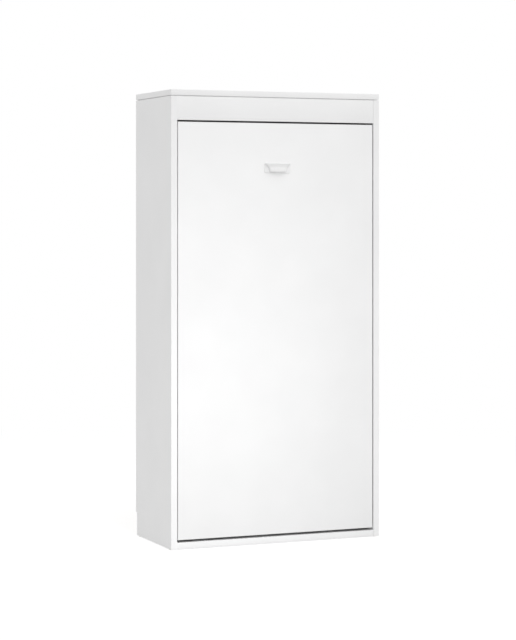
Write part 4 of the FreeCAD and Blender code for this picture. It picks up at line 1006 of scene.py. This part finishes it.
def make_mattress(strap_heights):
    """The mattress: swelled cover, diamond quilting on both faces and a taped edge round each."""
    low, high = BOX["mattress"]
    middle = (low + high) / 2
    block = swell(mattress_start())
    subdivision = block.modifiers.new("subdivision", "SUBSURF")
    subdivision.levels = 1
    subdivision.render_levels = 1
    baked(block)
    mesh = block.data
    normals = [point.normal.copy() for point in mesh.vertices]
    half_x = (high.x - low.x) / 2
    half_z = (high.z - low.z) / 2
    for point, normal in zip(mesh.vertices, normals):
        place = point.co
        if abs(normal.y) > FACE_TURN:
            edge = min(half_x - abs(place.x), half_z - abs(place.z - middle.z))
            fade = min(1, max(0, (edge - QUILT_MARGIN) / QUILT_MARGIN))
            line = quilt_line(place.x, place.z - middle.z)
            puff = 1 - math.exp(-(line / QUILT_WIDTH) ** 2)
            sunk = QUILT_DEPTH * (1 - puff) * fade
            for height in strap_heights:
                beside = max(0, abs(place.z - height) - STRAP_SINK_HALF)
                sunk = max(sunk, STRAP_SINK * math.exp(-(beside / STRAP_SINK_FADE) ** 2))
            place.y -= math.copysign(sunk, normal.y)
        for axis in range(3):
            place[axis] = min(high[axis] - COVER_MARGIN, max(low[axis] + COVER_MARGIN, place[axis]))
    tidied(mesh, 180)
    mesh.materials.clear()
    mesh.materials.append(FINISH["mattress_fabric"])
    attach(block, "bed", "mattress")
    cover = BVHTree.FromPolygons([point.co for point in mesh.vertices],
                                 [tuple(face.vertices) for face in mesh.polygons])
    tapes = []
    for depth in (low.y, high.y):
        outline = rounded_outline(low.x, high.x, low.z, high.z, TAPE_CORNER, 10)
        path = []
        for step, (across, up) in enumerate(outline):
            after = outline[(step + 1) % len(outline)]
            here = Vector((across, depth, up))
            there = Vector((after[0], depth, after[1]))
            pieces = max(1, round((there - here).length / TAPE_STEP))
            for share in range(pieces):
                place, normal, _, _ = cover.find_nearest(here.lerp(there, share / pieces))
                path.append(place + normal * TAPE_PROUD)
        path = evened(path)
        tapes.append(swept("tape", path, ring_section(TAPE_RADIUS, 12), closed=True, weave=True))
    tape = new_object("mattress_edge_tapes", joined("mattress_edge_tapes", tapes), TAPE)
    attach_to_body(tape, "bed")


# Straps and buckles

STRAP_THICKNESS = 2 * MM
STRAP_HALF = 20 * MM
STRAP_TAB = 16 * MM
STRAP_BEND = 22.3 * MM
STRAP_FOLD = 3 * MM


def strap_path(height):
    """A strap's middle line: from one side rail, round the mattress, to the other rail."""
    low, high = BOX["retaining_straps"]
    tab = STRAP_TAB - STRAP_THICKNESS / 2
    outer = high.x - tab - STRAP_THICKNESS / 2
    front = low.y + STRAP_THICKNESS / 2
    back = high.y - STRAP_THICKNESS / 2
    bend = STRAP_BEND + STRAP_THICKNESS / 2
    fold = STRAP_FOLD
    half = [Vector((outer + tab - 0.5 * MM, front, height)), Vector((outer + fold, front, height))]
    for step in range(1, 5):
        turn = math.radians(90 * step / 4)
        half.append(Vector((
            outer + fold - fold * math.sin(turn), front + fold - fold * math.cos(turn), height)))
    for step in range(1, 5):
        half.append(Vector((outer, front + fold + (back - bend - front - fold) * step / 5, height)))
    for step in range(9):
        turn = math.radians(90 * step / 8)
        half.append(Vector((
            outer - bend + bend * math.cos(turn), back - bend + bend * math.sin(turn), height)))
    for step in range(1, 12):
        half.append(Vector(((outer - bend) * (1 - step / 12), back, height)))
    other = [Vector((-point.x, point.y, point.z)) for point in reversed(half)]
    return half + [Vector((0, back, height))] + other


def make_straps(heights):
    """Two webbing straps across the mattress."""
    section = []
    for across in (-1, -0.9, -0.5, 0, 0.5, 0.9, 1):
        lift = 0.5 if abs(across) < 1 else 0.32
        section.append((across * STRAP_HALF, lift * STRAP_THICKNESS))
    section += [(across, -out) for across, out in reversed(section)]
    runs = [swept("strap", strap_path(height), section, weave=True) for height in heights]
    whole = joined("retaining_straps_webbing", runs)
    attach(new_object("retaining_straps_webbing", whole, FINISH["webbing"]), "bed", "retaining_straps")


def make_buckles():
    """Side-release buckles, each of five blocks: two bodies, a bar between them and two side arms."""
    parts = []
    for group in solids_of("strap_buckles"):
        low, high = (Vector(corner) for corner in group_box(group))
        middle = (low + high) / 2
        half = (high - low) / 2
        blocks = [
            (-1, 0.1, -0.72, 0.72, 0, 1), (0.16, 0.34, -0.5, 0.5, 0.1, 0.82), (0.3, 1, -0.78, 0.78, 0, 0.86),
            (-0.2, 0.5, 0.72, 1, 0.08, 0.8), (-0.2, 0.5, -1, -0.72, 0.08, 0.8),
        ]
        for left, right, bottom, top, near, far in blocks:
            depth = high.y - low.y
            block = new_object("block", slab("block", rounded_outline(
                middle.x + left * half.x, middle.x + right * half.x,
                middle.z + bottom * half.z, middle.z + top * half.z, 3 * MM, 4),
                low.y + near * depth, low.y + far * depth))
            softened(block, 1.2, 3)
            parts.append(block.data)
            bpy.data.objects.remove(block)
    whole = joined("strap_buckles_moulded", parts)
    attach(new_object("strap_buckles_moulded", whole, FINISH["dark_plastic"]), "bed", "strap_buckles")


# Floor, surroundings and light

FLOOR_HALF = 60
FLOOR_NEAR = 1.6
FLOOR_FAR = 5.0
FLOOR_GLOW = 0.65
# Strength of the floor's painted glow that lights the object: full further off, lower beside the cabinet as
# painted shade.
FLOOR_BOUNCE = 0.48
BOUNCE_LOW = 0.38
BOUNCE_NEAR = 0.4
BOUNCE_FAR = 1.3
WORLD_LIGHT = 0.77
HIGH_LAMP = {"place": (0.6, -2.9, 4.8), "aim": (0, -0.23, 1.4), "power": 262, "angle": 90, "radius": 2.3}
LOW_LAMP = {"place": (-0.4, -6.0, 3.2), "aim": (-0.5, -0.23, 0.38), "power": 560, "angle": 26, "radius": 0.8}


def seen_directly(tree):
    """One where a camera, a mirror or a clear thing looks at the floor or the world."""
    path = add_node(tree, "ShaderNodeLightPath").outputs
    pair = add_node(tree, "ShaderNodeMath", {
        0: path["Is Camera Ray"], 1: path["Is Glossy Ray"],
    }, operation="MAXIMUM").outputs[0]
    return add_node(tree, "ShaderNodeMath", {0: pair, 1: path["Is Transmission Ray"]},
                    operation="MAXIMUM").outputs[0]


def make_floor():
    """A floor that keeps the cabinet's shadow where it is seen and turns plain white further off.

    Matt light that reaches the object from it is a painted glow standing in for bounce light, even and pale, and
    dimmed beside the cabinet as painted shade.
    """
    half = FLOOR_HALF
    corners = [(-half, -half, 0), (half, -half, 0), (half, half, 0), (-half, half, 0)]
    mesh = mesh_of("floor", corners, [(0, 1, 2, 3)])
    floor = new_object("floor", mesh)
    material = bpy.data.materials.new("floor_paint_and_glow")
    material.use_nodes = True
    tree = material.node_tree
    tree.nodes.clear()
    place = add_node(tree, "ShaderNodeTexCoord").outputs["Object"]
    distance = add_node(tree, "ShaderNodeVectorMath", {0: place}, operation="LENGTH").outputs["Value"]
    paint = add_node(tree, "ShaderNodeBsdfDiffuse", {"Color": colour("808080")}).outputs["BSDF"]
    # Emission on the floor's matt rays: a painted glow standing in for bounce light, dimmed near the cabinet as
    # painted shade.
    bounce = add_node(tree, "ShaderNodeMapRange", {
        "Value": distance, "From Min": BOUNCE_NEAR, "From Max": BOUNCE_FAR,
        "To Min": BOUNCE_LOW, "To Max": FLOOR_BOUNCE,
    }, interpolation_type="SMOOTHSTEP").outputs["Result"]
    bounce_glow = add_node(tree, "ShaderNodeEmission", {"Strength": bounce}).outputs["Emission"]
    paint = add_node(tree, "ShaderNodeAddShader", {0: paint, 1: bounce_glow}).outputs[0]
    shown = add_node(tree, "ShaderNodeBsdfDiffuse", {"Color": colour("BCBCBC")}).outputs["BSDF"]
    glow = add_node(tree, "ShaderNodeEmission", {"Strength": FLOOR_GLOW}).outputs["Emission"]
    near = add_node(tree, "ShaderNodeAddShader", {0: shown, 1: glow}).outputs[0]
    white = add_node(tree, "ShaderNodeEmission", {"Strength": 1.0}).outputs["Emission"]
    far = add_node(tree, "ShaderNodeMapRange", {
        "Value": distance, "From Min": FLOOR_NEAR, "From Max": FLOOR_FAR,
    }, interpolation_type="SMOOTHSTEP").outputs["Result"]
    shown = add_node(tree, "ShaderNodeMixShader", {0: far, 1: near, 2: white}).outputs[0]
    both = add_node(tree, "ShaderNodeMixShader", {0: seen_directly(tree), 1: paint, 2: shown}).outputs[0]
    add_node(tree, "ShaderNodeOutputMaterial", {"Surface": both})
    mesh.materials.append(material)


def make_world():
    """Even soft light from all round, and plain white where it is seen."""
    world = bpy.data.worlds.new("studio")
    scene.world = world
    world.use_nodes = True
    tree = world.node_tree
    tree.nodes.clear()
    light = add_node(tree, "ShaderNodeBackground", {"Strength": WORLD_LIGHT}).outputs[0]
    white = add_node(tree, "ShaderNodeBackground", {"Strength": 1.0}).outputs[0]
    for background in (node for node in tree.nodes if node.type == "BACKGROUND"):
        background.inputs["Color"].default_value = (1, 1, 1, 1)
    both = add_node(tree, "ShaderNodeMixShader", {0: seen_directly(tree), 1: light, 2: white}).outputs[0]
    add_node(tree, "ShaderNodeOutputWorld", {"Surface": both})


def make_lamp(name, place, aim, power, angle, radius):
    """A soft lamp whose light fades evenly from its middle."""
    lamp = bpy.data.lights.new(name, "SPOT")
    lamp.energy = power
    lamp.spot_size = math.radians(angle)
    lamp.spot_blend = 1.0
    lamp.shadow_soft_size = radius
    spot = bpy.data.objects.new(name, lamp)
    spot.location = place
    spot.rotation_euler = (Vector(aim) - Vector(place)).to_track_quat("-Z", "Y").to_euler()
    scene.collection.objects.link(spot)


make_fittings()
make_joint_boards()
make_handle()
make_struts()
make_foot()
strap_heights = sorted(group_middle(group)[2] for group in solids_of("strap_buckles"))
make_straps(strap_heights)
make_buckles()
make_mattress(strap_heights)
make_floor()
make_world()
make_lamp("high_lamp", **HIGH_LAMP)
make_lamp("low_lamp", **LOW_LAMP)
